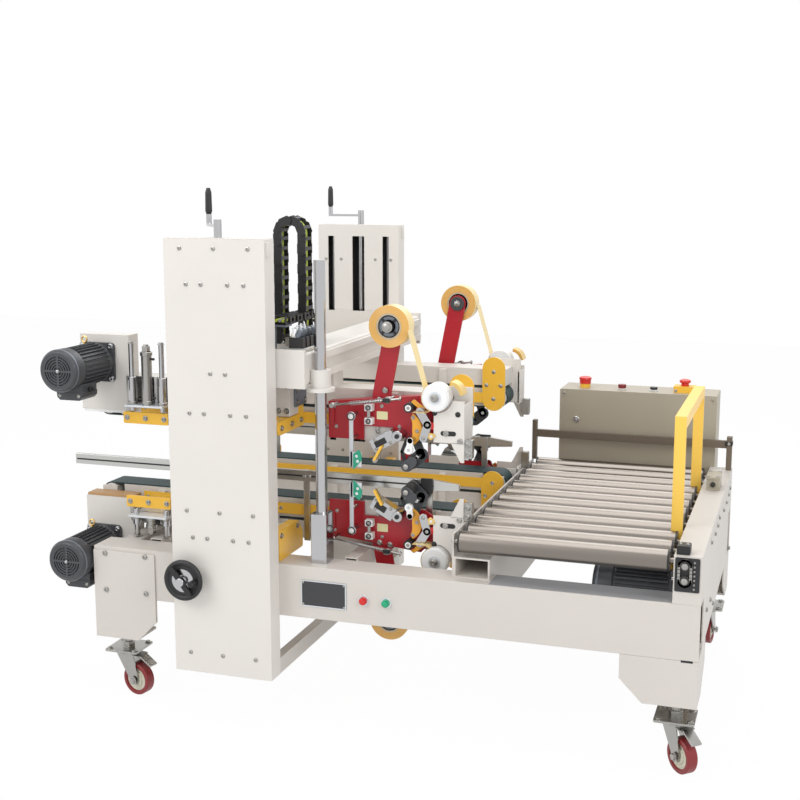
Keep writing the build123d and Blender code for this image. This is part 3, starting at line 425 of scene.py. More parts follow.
def smooth(points, steps=8):
    # Cubic through the points: each span leaves and arrives along the chord of the points beside it.
    p = np.array(points, float)
    p = np.concatenate((2 * p[:1] - p[1:2], p, 2 * p[-1:] - p[-2:-1]))
    a, b, c, d = (p[i:len(p) - 3 + i, None] for i in range(4))
    t = np.linspace(0, 1, steps, endpoint=False)[None, :, None]
    curve = b + 0.5 * t * (c - a + t * (2 * a - 5 * b + 4 * c - d + t * (3 * (b - c) + d - a)))
    return np.concatenate((curve.reshape(-1, p.shape[1]), p[-2:-1]))


def rounded(points, radius, steps=4):
    # Each corner becomes a curve that starts radius before it and ends radius after it, bent towards it.
    p = np.array(points, float)
    before, after = np.roll(p, 1, 0) - p, np.roll(p, -1, 0) - p
    reach = [np.minimum(radius, 0.45 * np.linalg.norm(v, axis=1, keepdims=True)) for v in (before, after)]
    a, b = p + unit(before) * reach[0], p + unit(after) * reach[1]
    t = np.linspace(0, 1, steps)[None, :, None]
    return ((1 - t) ** 2 * a[:, None] + 2 * t * (1 - t) * p[:, None] + t ** 2 * b[:, None]).reshape(-1, 2)


def rectangle(x0, x1, z0, z1):
    return [(x0, z0), (x1, z0), (x1, z1), (x0, z1)]


def arc(x, z, radius, start, end, steps=10):
    # Point = centre + radius * (cos a, sin a), with a from start to end in degrees.
    a = np.radians(np.linspace(start, end, steps))
    return np.stack((x + radius * np.cos(a), z + radius * np.sin(a)), -1)


def stadium(p, q, width, steps=9):
    # Half circles round two points, joined by straight sides.
    turn = math.degrees(math.atan2(q[1] - p[1], q[0] - p[0]))
    return np.concatenate((arc(*q, width / 2, turn - 90, turn + 90, steps),
                           arc(*p, width / 2, turn + 90, turn + 270, steps)))


planes = {"xz": (0, 2, 1), "yz": (1, 2, 0), "xy": (0, 1, 2)}


def slab(outline, low, high, plane="xz", window=None):
    # An outline carried straight from low to high; a window is a second outline with as many points.
    first, second, depth = planes[plane]
    loops = [np.asarray(loop, float) for loop in (outline, window) if loop is not None]
    n = len(loops[0])
    rings = [(loop, level) for loop in loops for level in (low, high)]
    verts = np.zeros((len(rings), n, 3))
    for k, (loop, level) in enumerate(rings):
        verts[k, :, first], verts[k, :, second], verts[k, :, depth] = loop[:, 0], loop[:, 1], level
    i = np.arange(n)
    j = (i + 1) % n

    def band(a, b):
        return np.stack((a * n + i, a * n + j, b * n + j, b * n + i), -1).tolist()
    if window is None:
        faces = band(0, 1) + [i.tolist(), (n + i).tolist()]
    else:
        faces = band(0, 1) + band(1, 3) + band(3, 2) + band(2, 0)
    return verts.reshape(-1, 3), faces


def box(x0, x1, y0, y1, z0, z1, corner=1.5):
    # A rectangle with rounded corners in side view, carried along y.
    return slab(rounded(rectangle(x0, x1, z0, z1), corner, 3), y0, y1)


def joined(*shapes):
    # One shape: the faces of each count on from the points of those before it.
    start = np.cumsum([0] + [len(verts) for verts, faces in shapes])
    faces = [[i + s for i in face] for (verts, part), s in zip(shapes, start) for face in part]
    return np.concatenate([verts for verts, part in shapes]), faces


def moved(shape, by):
    return shape[0] + np.array(by, float), shape[1]


def spun(shape, centre, axis, degrees):
    # Turns the points about an axis: along it they keep their height, across it they turn.
    w = unit(axis)
    a = math.radians(degrees)
    d = shape[0] - np.asarray(centre, float)
    flat = d - (d @ w)[:, None] * w
    turn = flat * math.cos(a) + np.cross(w, flat) * math.sin(a)
    return np.asarray(centre, float) + (d @ w)[:, None] * w + turn, shape[1]


def sideOf(shape, near, upper):
    # Pieces are drawn for the near upper side; the others are its mirror images.
    verts = shape[0].copy()
    if not near:
        verts[:, 1] *= -1
    if not upper:
        verts[:, 2] = 2 * middle - verts[:, 2]
    return verts, shape[1]


def rod(radius, low, high, centre, axis, sides, chamfer=1.0):
    # A round bar from low to high along its axis, with a small chamfer at both ends.
    c = min(chamfer, radius / 3)
    profile = [(radius - c, low), (radius, low + c), (radius, high - c), (radius - c, high)]
    return turned(profile, centre, axis, sides)


def pin(x, z, radius, y0, y1, sides=20):
    return rod(radius, y0, y1, (x, 0, z), (0, 1, 0), sides)


def post(x, y, radius, z0, z1, sides=20):
    return rod(radius, z0, z1, (x, y, 0), (0, 0, 1), sides)


fasteners = {  # radius and height of a head, its sides and its socket's radius
    "socket": {"head": (6.5, 5.5), "sides": 14, "recess": 3.2},
    "small": {"head": (4.2, 3.2), "sides": 12, "recess": 2.0},
    "dome": {"head": (5.0, 2.6), "sides": 12, "recess": 0.0},
    "hex": {"head": (8.0, 5.5), "sides": 6, "recess": 0.0},
}


def fastener(kind, place, axis=(0, -1, 0), scale=1.0):
    # A head on a washer, turned round its own axis.
    radius, height = (v * scale for v in fasteners[kind]["head"])
    recess, sides = fasteners[kind]["recess"] * scale, fasteners[kind]["sides"]
    washer = turned([(radius * 1.35, 0), (radius * 1.35, 1.0), (radius * 1.25, 1.3)], place, axis, 14)
    if recess:
        profile = [(radius, 0.8), (radius, height - 0.8), (radius - 0.8, height), (recess, height),
                   (recess, height * 0.45)]
    elif kind == "dome":
        profile = [(radius, 0.8), (radius * 0.9, height * 0.6), (radius * 0.6, height * 0.9), (1.0, height)]
    else:
        profile = [(radius, 0.8), (radius, height - 0.7), (radius - 1.2, height)]
    return joined(washer, turned(profile, place, axis, sides))


def bolts(kind, places, axis=(0, -1, 0), scale=1.0):
    return joined(*[fastener(kind, place, axis, scale) for place in places])


def screws(kind, scale, depth, places):
    # Fasteners at (x, height) places on a face that looks to the near side.
    return bolts(kind, [(x, depth, z) for x, z in places], scale=scale)


def link(p, q, width, y0, y1):
    # A flat bar between two points, with half circles at its ends.
    return slab(stadium(p, q, width), y0, y1)


def plate(outline, corner, low, high, plane="xz"):
    # A slab whose corners are rounded where a radius is given.
    return slab(rounded(outline, corner) if corner else outline, low, high, plane)


def collar(x, z, outer, bore, y0, y1, sides):
    # A rectangle between bore and outer radius, turned round a line along y.
    return turned([(outer, y0), (outer, y1), (bore, y1), (bore, y0)], (x, 0, z), sides=sides, ring=True)


makers = {"pin": pin, "post": post, "box": box, "turned": turned, "link": link, "plate": plate,
          "collar": collar, "screws": screws, "bolts": bolts}


def fromTable(table):
    # Under the name of its maker, each row is a finish and what the maker is given.
    return [(key, makers[maker](*row)) for maker, rows in table.items() for key, *row in rows]


def makePiece(name, items, body, edge=0.0, instead=()):
    # One mesh from (finish, shape) pairs, in metres, with a rounded edge where asked.
    mesh = bpy.data.meshes.new(name)
    keys = list(dict.fromkeys(key for key, shape in items))
    verts, faces = joined(*[shape for key, shape in items])
    mesh.from_pydata((zero + verts / 1000).tolist(), [], faces)
    for key in keys:
        mesh.materials.append(paints[key])
    index = np.concatenate([np.full(len(shape[1]), keys.index(key), np.int32) for key, shape in items])
    mesh.polygons.foreach_set("material_index", index)
    work = bmesh.new()
    work.from_mesh(mesh)
    bmesh.ops.recalc_face_normals(work, faces=work.faces)
    work.to_mesh(mesh)
    work.free()
    mesh.shade_smooth()
    mesh.set_sharp_from_angle(angle=edgeRules["sharp"])
    obj = bpy.data.objects.new(name, mesh)
    bpy.context.scene.collection.objects.link(obj)
    if edge:
        addBevel(obj, edge, edgeRules["bevelFrom"]).use_clamp_overlap = False
    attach(obj, body)
    if instead:
        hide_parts(*instead)


def bothSides(items, upper):
    return [(key, sideOf(shape, near, upper)) for near in (True, False) for key, shape in items]


levels = {"upper": ("lift", True), "lower": ("root", False)}


# Tape heads: places are (x, height) in side view, depths run from the near side backwards

headPlate = {"left": 232, "right": 521, "low": 824, "leftTop": 934, "rightTop": 965, "front": -345,
             "back": -339, "lipBack": -311, "sheet": 4, "notch": (344, 433, 866), "nose": (516, 890, 56),
             "rollArm": ((396, 954), (437, 1168), 56, -339, -333),
             "tab": ((246, 874), (246, 912), 12, -352, -345),
             "armScrews": [(410, 975), (392, 946), (424, 950)],
             "screws": [(454, 870), (400, 928), (386, 860), (429, 842), (257, 859), (468, 839), (250, 918)]}
headDetail = {
    "pin": [  # finish, x, height, radius, front, back, sides
        ("chrome", 462, 850, 16, -393, -345), ("black", 462, 850, 7, -397, -393, 12),
        ("chrome", 552, 888, 8, -380, -345), ("chrome", 529, 925, 7, -380, -345),
        ("chrome", 505, 842, 9, -404, -345), ("chrome", 525, 794, 6, -404, -345),
        ("chrome", 497, 768, 6, -419, -350), ("black", 481, 834, 4, -358, -345, 12),
        ("steel", 506, 905, 5, -372, -345, 12), ("steel", 518, 866, 5, -372, -345, 12),
        ("steel", 500, 832, 5, -372, -345, 12), ("steel", 322, 902, 6, -391, -339),
        ("steel", 322, 836, 5, -391, -345, 12), ("steel", 435, 956, 10, -399, -387),
        ("steel", 435, 956, 5, -387, -345, 12), ("steel", 262, 931, 8, -399, -387),
        ("steel", 262, 931, 4, -387, -345, 12), ("chrome", 437, 1168, 10, -407, -333),
        ("motor", 437, 1168, 24, -333, -327, 24), ("steel", 580, 971, 12, -413, -311),
        ("steel", 494, 934, 5, -388, -345, 14)],
    "link": [  # finish, one end, other end, width, front, back
        ("yellow", (414, 816), (393, 777), 7, -396, -385), ("steel", (414, 816), (390, 772), 15, -383, -379),
        ("chrome", (529, 925), (552, 888), 24, -387, -380),
        ("chrome", (552, 888), (540, 848), 24, -387, -380),
        ("motor", (497, 768), (525, 792), 40, -356, -350),
        ("motor", (525, 792), (505, 842), 26, -356, -350),
        ("motor", (497, 768), (514, 783), 30, -416, -410), ("white", (505, 842), (503, 812), 18, -404, -399),
        ("black", (481, 834), (468, 800), 9, -366, -358), ("black", (468, 800), (476, 774), 9, -366, -358),
        ("black", (598, 866), (630, 866), 14, -385, -384)],
    "plate": [  # finish, outline, corner radius, front, back
        ("redButton", [(556, 898), (572, 892), (570, 874), (558, 878)], 4, -384, -372),
        ("brass", [(558, 866), (573, 864), (576, 855), (563, 844), (554, 850)], 0, -389, -383),
        ("amber", [(500, 952), (510, 959), (543, 935), (533, 925)], 3, -380, -376),
        ("paleSteel", rectangle(316, 328, 754, 902), 3, -396, -391),
        ("paleSteel", circle(13, 20) + (322, 902), 0, -397, -391),
        ("paleSteel", rectangle(322, 356, 754, 798), 0, -402, -399),
        ("paleSteel", rectangle(322, 328, 754, 798), 0, -402, -391),
        ("green", [(331, 792), (350, 806), (358, 788), (358, 775), (331, 744)], 3, -405, -402),
        ("black", rectangle(421, 444, 949, 961), 3, -404, -399),
        ("white", rectangle(353, 377, 914, 934), 2, -367, -345),
        ("white", rectangle(353, 377, 874, 894), 2, -367, -345),
        ("steel", rectangle(360, 369, 896, 912), 0, -362, -357),
        ("sticker", rectangle(384, 418, 888, 912), 2, -345.8, -345),
        ("beige", rectangle(338, 446, 822, 880), 3, -337, -332)],
    "collar": [  # finish, x, height, outer and inner radius, front, back, sides
        ("black", 322, 902, 12, 9, -399.5, -397, 20), ("black", 365, 924, 8, 5, -370, -367, 18),
        ("black", 365, 884, 8, 5, -370, -367, 18)],
    "screws": [  # finish, kind, size, depth, places
        ("steel", "small", 1, -385, [(396, 806), (440, 829), (392, 833)]),
        ("steel", "small", 1, -387, [(529, 925), (552, 888), (540, 848)]),
        ("steel", "small", 1, -376, [(506, 905), (518, 866), (500, 832)]),
        ("steel", "small", 1, -380, [(536, 932)]), ("steel", "dome", 1.2, -419, [(497, 768)]),
        ("white", "small", 0.8, -389, [(565, 856)]), ("white", "small", 0.8, -405, [(342, 786), (345, 771)]),
        ("white", "hex", 1, -397, [(322, 902)]), ("steel", "dome", 0.8, -367, [(365, 924), (365, 884)]),
        ("steel", "hex", 0.7, -337, [(385, 850)]), ("black", "dome", 1.2, -384, [(573, 924), (642, 923)]),
        ("steel", "socket", 1, -385, [(607, 866)]), ("steel", "socket", 1, -384, [(649, 846)]),
        ("steel", "socket", 1, -379, [(672, 835), (672, 809)]), ("steel", "hex", 1.5, -407, [(437, 1168)]),
        ("steel", "hex", 1, -311, [(568, 866), (568, 960), (600, 866), (600, 960)]),
        ("steel", "socket", 1.2, -413, [(580, 971)])],
}
knife = {"centre": (416, 831), "turn": 29, "block": (38, 20, 4, -385, -350),
         "insert": (-26, 10, 9, 2, -388, -384)}
crescent = {"centre": (480, 870), "radius": 53, "tip": 13, "swell": 17, "spread": 62, "depth": (-376, -372)}
spring = {"start": (259, -393, 931), "end": (471, -393, 961), "rod": 3.4, "wire": 0.9, "coil": 6.2,
          "turns": 22, "from": 60, "long": 110, "nut": (471, -391, 961), "nutAxis": (1, 0, 0.14)}
drumMount = {"left": 570, "right": 661, "low": 838, "high": 961, "front": -384, "back": -379, "frame": -305,
             "drum": (580, 971), "hole": 47, "guard": (620, 978, 42, 31), "guardDepth": (-400, -356),
             "gussetLow": 783, "gussetBend": (40, 11), "stop": (684, -357, 795, 849, 2),
             "spindleNut": (437, -327, 1168)}


def redPlate():
    # A slanted top, a round nose to the infeed side and a notch over the knife; the roll's arm stands behind.
    h = headPlate
    nose = arc(*h["nose"], 55, -85, 12)
    left, right, lift = h["notch"]
    slope = [(h["left"], h["leftTop"]), (h["right"], h["rightTop"])]
    outline = [(h["left"], h["low"]), *slope, *nose, (right, nose[-1][1]), (right, lift), (left, lift),
               (left, h["low"])]
    lip = [*slope, *[(x, z - h["sheet"]) for x, z in slope[::-1]]]
    return [("red", link(*h["rollArm"])), ("red", link(*h["tab"])),
            ("red", slab(outline, h["front"], h["back"])),
            ("red", slab(lip, h["back"] - 0.5, h["lipBack"])),
            ("steel", screws("socket", 1, h["front"], h["armScrews"])),
            ("steel", screws("small", 1, h["front"], h["screws"]))]


def knifeBlock():
    # Two rectangles turned about one centre: the block and its insert.
    turn = math.radians(knife["turn"])
    across = np.array(((math.cos(turn), math.sin(turn)), (-math.sin(turn), math.cos(turn))))
    x, z, blockCorner, *blockDepth = knife["block"]
    left, right, half, insertCorner, *insertDepth = knife["insert"]
    block = rounded(np.array(rectangle(-x, x, -z, z)) @ across + knife["centre"], blockCorner)
    insert = rounded(np.array(rectangle(left, right, -half, half)) @ across + knife["centre"], insertCorner)
    return [("chrome", slab(block, *blockDepth)), ("black", slab(insert, *insertDepth))]


def crescentPlate():
    # Between two arcs about one centre, the inner radius less by tip + swell * cos(1.5 t), t from -1 to 1.
    c = crescent
    t = np.linspace(-1, 1, 12)
    a = np.radians(t * c["spread"])
    inner = c["radius"] - c["tip"] - c["swell"] * np.cos(t * 1.5)
    round0 = np.stack((np.cos(a), np.sin(a)), -1)
    outline = np.concatenate((c["radius"] * round0, (inner[:, None] * round0)[::-1])) + c["centre"]
    return [("amber", slab(outline, *c["depth"]))]


def springRod():
    # Straight rod between two eyes; the spring is a helix round its middle.
    start, end = np.array(spring["start"], float), np.array(spring["end"], float)
    along, across = unit(end - start), np.array((0, 1.0, 0))
    third = np.cross(along, across)
    t = np.linspace(0, 1, 12 * spring["turns"])[:, None]
    turn = t * 2 * np.pi * spring["turns"]
    middleLine = start + along * (spring["from"] + spring["long"] * t)
    coil = middleLine + spring["coil"] * (np.cos(turn) * across + np.sin(turn) * third)
    return [("steel", carried(np.linspace(start, end, 4), circle(spring["rod"]), (0, 0, 1))),
            ("chrome", carried(coil, circle(spring["wire"], 5), along)),
            ("steel", bolts("hex", [spring["nut"]], spring["nutAxis"], 0.8))]


def mountPlate():
    # Cranked plate beside the drum, cut round it, with a gusset and a flange to the belt frame's end plate.
    m = drumMount
    bay = arc(*m["drum"], m["hole"], -12, -102, 10)
    outline = [(m["left"], m["low"]), (m["right"], m["low"]), (m["right"], m["high"]), *bay]
    wide, narrow = m["gussetBend"]
    gusset = [(m["right"] - wide, m["low"] + 2), (m["right"], m["low"] + 2), (m["right"], m["gussetLow"]),
              (m["right"] - narrow, m["gussetLow"])]
    right, y1, *stop = m["stop"]
    x, z, outer, inner = m["guard"]
    guard = np.concatenate((arc(x, z, outer, 5, 82, 9), arc(x, z, inner, 82, 5, 9)))
    return [("beige", slab(outline, m["front"], m["back"])), ("beige", slab(gusset, m["front"], m["back"])),
            ("beige", box(m["right"] - 5, m["right"], m["back"], m["frame"], m["low"], 950)),
            ("brass", slab(guard, *m["guardDepth"])), ("steel", box(m["right"], right, m["back"], y1, *stop)),
            ("steel", bolts("hex", [m["spindleNut"]], (0, 1, 0)))]


headRollers = {"collar": [  # finish, x, height, outer and inner radius, front, back, sides
    ("paleSteel", 580, 971, 18, 12, -408.5, -406, 24), ("rubber", 497, 768, 17, 9, -407, -361, 28),
    ("white", 497, 768, 9, 6.2, -408, -360, 20), ("rubber", 494, 934, 14, 5.2, -386, -352, 26),
    ("white", 494, 934, 9, 5.2, -388, -386, 20), ("white", 503, 815, 12, 5, -410, -399, 20)],
    "turned": [  # finish, radius and depth along the profile, place, axis, sides
        ("white", [(12, -407), (36, -407), (36, -404.5), (39, -404.5), (41, -402.5), (41, -362), (39, -360),
                   (12, -360)], (580, 0, 971), (0, 1, 0), 40)]}
strand = {"roll": (498, 1160), "drum": (580, 971, 41.6), "guide": [(548, 925), (512, 925)], "depth": -382,
          "tape": (0.5, 46)}


def tapePath():
    # From the roll straight to the drum, round it, and on to the guide roller.
    around = arc(*strand["drum"], 145, 250, 9)
    path = np.concatenate((np.linspace(strand["roll"], around[0], 7), around,
                           smooth([around[-1], *strand["guide"]], 4)[1:]))
    verts = np.stack((path[:, 0], np.full(len(path), strand["depth"]), path[:, 1]), -1)
    return carried(verts, strip(*strand["tape"]))


for level, (body, upper) in levels.items():
    fittings = fromTable(headDetail) + knifeBlock() + crescentPlate() + springRod() + mountPlate()
    makePiece(f"{level}RedPlates", bothSides(redPlate(), upper), body, 0.0005,
              [f"{level}_head_plates"])
    makePiece(f"{level}HeadFittings", bothSides(fittings, upper), body, 0.0004,
              [f"{level}_head_fittings"])
    makePiece(f"{level}HeadRollers", bothSides(fromTable(headRollers), upper), body, 0.0,
              [f"{level}_head_rollers"])
    makePiece(f"{level}TapeStrands", bothSides([("tapeFilm", tapePath())], upper), body)


# Tape rolls

rollSize = {"x": 437, "z": 1168, "front": -391, "back": -341, "radius": 61, "core": 38, "wall": 5,
            "bore": 10.3, "windings": 7, "notches": 4}


def tapeRoll():
    # Wound tape with stepped sides, a card core, a hub with drive notches.
    r = rollSize
    place, y0, y1 = (r["x"], 0, r["z"]), r["front"], r["back"]
    core, inner, rim = r["core"], r["core"] - r["wall"], r["radius"]
    steps = np.linspace(core, rim - 1, r["windings"] + 1)
    wound = [(s + o, y0 + d) for s in steps[:-1] for o, d in ((0, 0), (1.4, 0.5))]
    profiles = [  # finish, sides, then radius and depth along the closed profile
        ("tape", 56, [(core, y1), (core, y0), *wound[1:], (rim - 0.4, y0), (rim - 0.4, y1)]),
        ("tapeFilm", 56, [(rim - 0.6, y1 - 0.4), (rim - 0.6, y0 + 0.4), (rim, y0 + 1), (rim, y1 - 1)]),
        ("card", 40, [(inner, y1), (inner, y0 - 0.5), (core - 0.2, y0 - 0.5), (core - 0.2, y1)]),
        ("black", 32, [(14, y0 + 26), (14, y0 + 14), (24, y0 + 10), (inner + 0.4, y0 + 10),
                       (inner + 0.4, y0 + 26)]),
        ("black", 24, [(r["bore"], y1), (r["bore"], y0 - 4), (15, y0 - 4), (15, y1)]),
        ("slate", 32, [(20, y0 + 11), (20, y0 + 2), (29, y0 + 2), (29, y0 + 11)]),
    ]
    outline = rounded(rectangle(r["x"] - 4, r["x"] + 4, r["z"] + 20.5, r["z"] + 32), 2)
    notch = slab(outline, y0 + 0.5, y0 + 10.2)
    turns = 360 * (np.arange(r["notches"]) + 0.5) / r["notches"]
    return [(key, turned(profile, place, sides=sides, ring=True)) for key, sides, profile in profiles] + [
        ("black", joined(*[spun(notch, place, (0, 1, 0), a) for a in turns]))]


for level, (body, upper) in levels.items():
    for side, near in (("near", True), ("far", False)):
        items = [(key, sideOf(shape, near, upper)) for key, shape in tapeRoll()]
        rollName = f"tape_roll_{level}_{side}"
        makePiece(f"{level}{side.capitalize()}TapeRoll", items, rollName, 0.0, [rollName])
print("tape heads and rolls made")


# Gear motors

sideMotor = {"x": -529, "lift": 292, "front": -595, "flange": -368}
tableMotor = {"left": 1046, "right": 1276, "y": -383, "z": 465}
motorSize = {"radius": 64, "cowl": 52, "fins": 30, "slots": 5, "slotPitch": 8, "slotWide": 4.5, "slotDeep": 5,
             "spokes": 4, "flange": 10, "bolt": 50, "gland": 88, "eye": (-22, 40, 9, 2.6)}
motorBox = {"left": -34, "right": 50, "depth": (46, 130), "top": -46, "bottom": -92, "chamfer": 9, "lid": -70,
            "edge": 1.5}


def gearMotor(front, flange):
    # Turned housing about the y axis: a fan cowl with ring slots cut by spokes, long fins, a square flange.
    m, b = motorSize, motorBox
    r, back, cowl, pitch = m["radius"], flange - front, m["cowl"], m["slotPitch"]
    grooves = [(pitch * (g + 1) + wide, depth) for g in range(m["slots"]) for wide, depth in
               ((0, 0), (0, m["slotDeep"]), (m["slotWide"], m["slotDeep"]), (m["slotWide"], 0))]
    face = [(4, 0), *grooves, (r - 11, 0), (r - 9, -1.5), (r - 5, 0.5), (r, 8), (r, cowl), (r - 4, cowl + 3),
            (r - 8, cowl + 3)]
    barrel = [(r - 8, cowl), (r - 8, back - 26), (r - 4, back - 22), (r - 4, back - 9)]
    spoke = slab(rectangle(-3.2, 3.2, 6, 46), 0.2, 5.2)
    fin = slab([(-1.3, r - 9), (1.3, r - 9), (0.9, r - 0.6), (-0.9, r - 0.6)], cowl + 8, back - 28)
    around = [spun(fin, (0, 0, 0), (0, 1, 0), 360 * (i + 0.5) / m["fins"]) for i in range(m["fins"])]
    around += [spun(spoke, (0, 0, 0), (0, 1, 0), 360 * i / m["spokes"]) for i in range(m["spokes"])]
    square = slab(rounded(rectangle(-r + 3, r - 3, -r + 3, r - 3), 14), back - m["flange"], back)
    c, e, (near, far) = b["chamfer"], b["edge"], b["depth"]
    underside = [(b["left"], b["bottom"] + c), (b["left"] + c, b["bottom"]), (b["right"] - c, b["bottom"]),
                 (b["right"], b["bottom"] + c)]
    case = slab([(b["left"], b["top"]), *underside, (b["right"], b["top"])], near, far)
    lid = slab([(b["left"] - e, b["lid"]), *[(x, z - e) for x, z in underside], (b["right"] + e, b["lid"])],
               near - e, far + e)
    gland = turned([(9, 0), (9, 8), (7, 9), (7, 18), (4, 20)], (b["right"], m["gland"], -64), (1, 0, 0), 14)
    places = rectangle(-m["bolt"], m["bolt"], -m["bolt"], m["bolt"])
    x, behind, ring, wire = m["eye"]
    eye = turned(circle(wire, 8) + (ring, 0), (x, back - behind, r + 10), (0, 1, 0), 20, True)
    trim = turned([(r - 1, 9), (r + 0.8, 9), (r + 0.8, 15), (r - 1, 15)], (0, 0, 0), sides=56, ring=True)
    return [("motor", joined(turned(face, (0, 0, 0), sides=56), turned(barrel, (0, 0, 0), sides=56), *around,
                             square, case, lid)),
            ("black", gland), ("slate", trim), ("brass", eye),
            ("brass", post(x, back - behind, 5, r - 6, r + 3, 12)),
            ("chrome", screws("socket", 1.1, back - m["flange"], places)),
            ("chrome", screws("dome", 0.9, -1.5, [(0, 0)])),
            ("steel", screws("small", 1, near - e, [(x, -80) for x in (b["left"] + 10, b["right"] - 10)]))]


def placed(items, by):
    # Every shape moved by the same distance.
    return [(key, moved(shape, by)) for key, shape in items]


def alongX(items):
    # The table motor lies along x: its local y becomes x.
    return [(key, (shape[0][:, (1, 0, 2)] * (1, -1, 1), shape[1])) for key, shape in items]


def beltMotors(lift):
    # The near motor and its mirror image on the far side.
    m = sideMotor
    return bothSides(placed(gearMotor(m["front"], m["flange"]), (m["x"], m["front"], middle + lift)), True)


underTable = placed(alongX(gearMotor(tableMotor["left"], tableMotor["right"])),
                    (tableMotor["left"], tableMotor["y"], tableMotor["z"]))
makePiece("upperGearMotors", beltMotors(sideMotor["lift"]), "lift", 0.0006, ["upper_motors"])
makePiece("lowerGearMotors", beltMotors(-sideMotor["lift"]) + underTable, "root", 0.0006,
          ["lower_motors"])
print("motors made")


# Columns and base: screws in rows, leg covers, black sheets behind the slots as painted shade of the hollow
# columns' inside

columnRows = {"outer": (-104, 0, 105), "inner": (-87, -41, 41, 90), "pair": (-18, 28),
              "heights": {1393: "outer", 1293: "inner", 1042: "pair", 926: "inner", 639: "outer",
                          560: "inner", 209: "outer"}}
frontRows = [(x, z) for z, row in columnRows["heights"].items() for x in columnRows[row]]
columnTrim = {  # slot, rounded edge, then the near side's rows for fromTable
    "legCovers": ("beige_paint", 0.0012, {"plate": [
        ("beigeBase", [(-458, 198), (-313, 198), (-250, 262), (-250, 473), (-458, 473)], 0, -556, -551)]}),
    "columnBolts": ("bright_steel", 0.0, {
        "screws": [("steel", "small", 1.15, -615, frontRows),
                   ("steel", "socket", 1, -556, [(x, z) for x in (-417, -281) for z in (350, 465)])],
        "bolts": [("steel", "small", [(x, -551, z) for z in (1297, 585) for x in (-125, -66, 66, 125)],
                   (0, 1, 0))]}),
    # Black sheets just behind the column slots: painted shade of the hollow column's inside.
    "slotShadeSheets": ("control_plastic", 0.0, {"plate": [
        ("darkInside", rectangle(-149, 149, 596, 1414), 0, -610.8, -607)]}),
}
lidTrim = {
    "beamChannels": ("beige_paint", 0.0, {"plate": [
        ("cableGrey", rectangle(778, 1273, -546, -456), 0, 485, 486, "xy")]}),
    "columnLids": ("beige_paint", 0.0005, {
        "plate": [("beige", rectangle(-152, 152, -612, -554), 0, 1420, 1421.5, "xy")],
        "box": [("beige", x, x + 4, -606, -584, 1372, 1412, 1) for x in (-158, 154)]}),
}
endTrim = {
    "bolts": [("steel", "socket", [(1350, y, z) for y, z in (
        (455, 569), (392, 562), (300, 558), (178, 563), (-1, 584), (-60, 575), (-151, 575), (-279, 584),
        (533, 340), (-246, 406), (-134, 359), (-371, 418))], (1, 0, 0))],
    "plate": [("darkInside", rectangle(1304, 1335, 326, 332), 0, *depth)
              for depth in ((-551.6, -550), (550, 551.6))]}


def makeTrims(trims):
    # Each piece stands at the near column or beam and, mirrored, at the far one.
    for name, (slot, edge, table) in trims.items():
        makePiece(name, bothSides(fromTable(table), True), "root", edge)


makeTrims(columnTrim)
makePiece("endBolts", fromTable(endTrim), "root")
makeTrims(lidTrim)


# Controls on the near beam, the cabinet and the handwheel

ratingPlate = {"left": 223.5, "right": 362, "low": 367, "high": 445, "front": -552.5, "rise": 0.7,
               "border": 3.0, "inset": 6}
beamButtons = {"places": {"redButton": (415.5, -551, 402), "greenButton": (483, -551, 402)},
               "bezel": [(11.5, -4), (15, -4), (16, -2.5), (16, 0), (11.5, 0)],
               "cap": [(9, -14.5), (7.5, -15.5), (2, -16)]}
cabinetTrim = {
    "turned": [("chrome", [(11, 0), (11, 2.5), (9, 4)], (811, 552, 753), (0, -1, 0), 24),
               ("chrome", [(5, 4), (5, 5), (3, 5.5)], (811, 552, 753), (0, -1, 0), 16),
               ("paleSteel", [(16, 0), (16, 3), (13, 4.5)], (960, 612, 859), (0, 0, 1), 24),
               ("paleSteel", [(16, 0), (16, 3), (13, 4.5)], (1070, 612, 859), (0, 0, 1), 24),
               ("redButton", [(20, 885), (22, 889), (21, 894), (14, 897), (3, 898)], (830, 612, 0),
                (0, 0, 1), 28),
               ("redButton", [(18, 892), (19.5, 896), (18, 901), (10, 904), (3, 904.5)], (1176, 612, 0),
                (0, 0, 1), 28)],
    "screws": [("steel", "small", 1, 552, rectangle(766, 1276, 592, 845)),
               ("steel", "small", 1, 587, [(1147, 866), (1205, 866)])]}
wheelBar = {"hub": (-104, 0, 439), "reach": 41, "wide": 15, "depth": (-670, -662), "turn": 52,
            "boss": [(13, -671), (12, -674), (4, -675)]}


def areaLine(area, by=0.0):
    # The rectangle of a dictionary with left, right, low and high, smaller by the same distance all round.
    return rectangle(area["left"] + by, area["right"] - by, area["low"] + by, area["high"] - by)


def beamControls():
    # The plate's raised border with four screws, and a ring round each button.
    r, b = ratingPlate, beamButtons
    face = r["front"] - r["rise"]
    rings = [("paleSteel", turned(b["bezel"], place, sides=28, ring=True)) for place in b["places"].values()]
    return rings + [("paleSteel", slab(areaLine(r), face, r["front"], window=areaLine(r, r["border"]))),
                    ("steel", screws("small", 0.7, face, areaLine(r, r["inset"])))]


def handwheelBar():
    # A flat bar across the wheel, turned about the hub, and a boss on its middle.
    w = wheelBar
    x, z = w["hub"][::2]
    flat = link((x - w["reach"], z), (x + w["reach"], z), w["wide"], *w["depth"])
    return [("black", spun(flat, w["hub"], (0, 1, 0), w["turn"])), ("chrome", turned(w["boss"], w["hub"]))]


makePiece("plateTrim", beamControls(), "root")
caps = [(key, turned(beamButtons["cap"], place)) for key, place in beamButtons["places"].items()]
makePiece("buttonFaces", caps, "root")
makePiece("cabinetTrim", fromTable(cabinetTrim), "root")
makePiece("wheelBar", handwheelBar(), "handwheel", 0.0008)
print("columns and controls made")


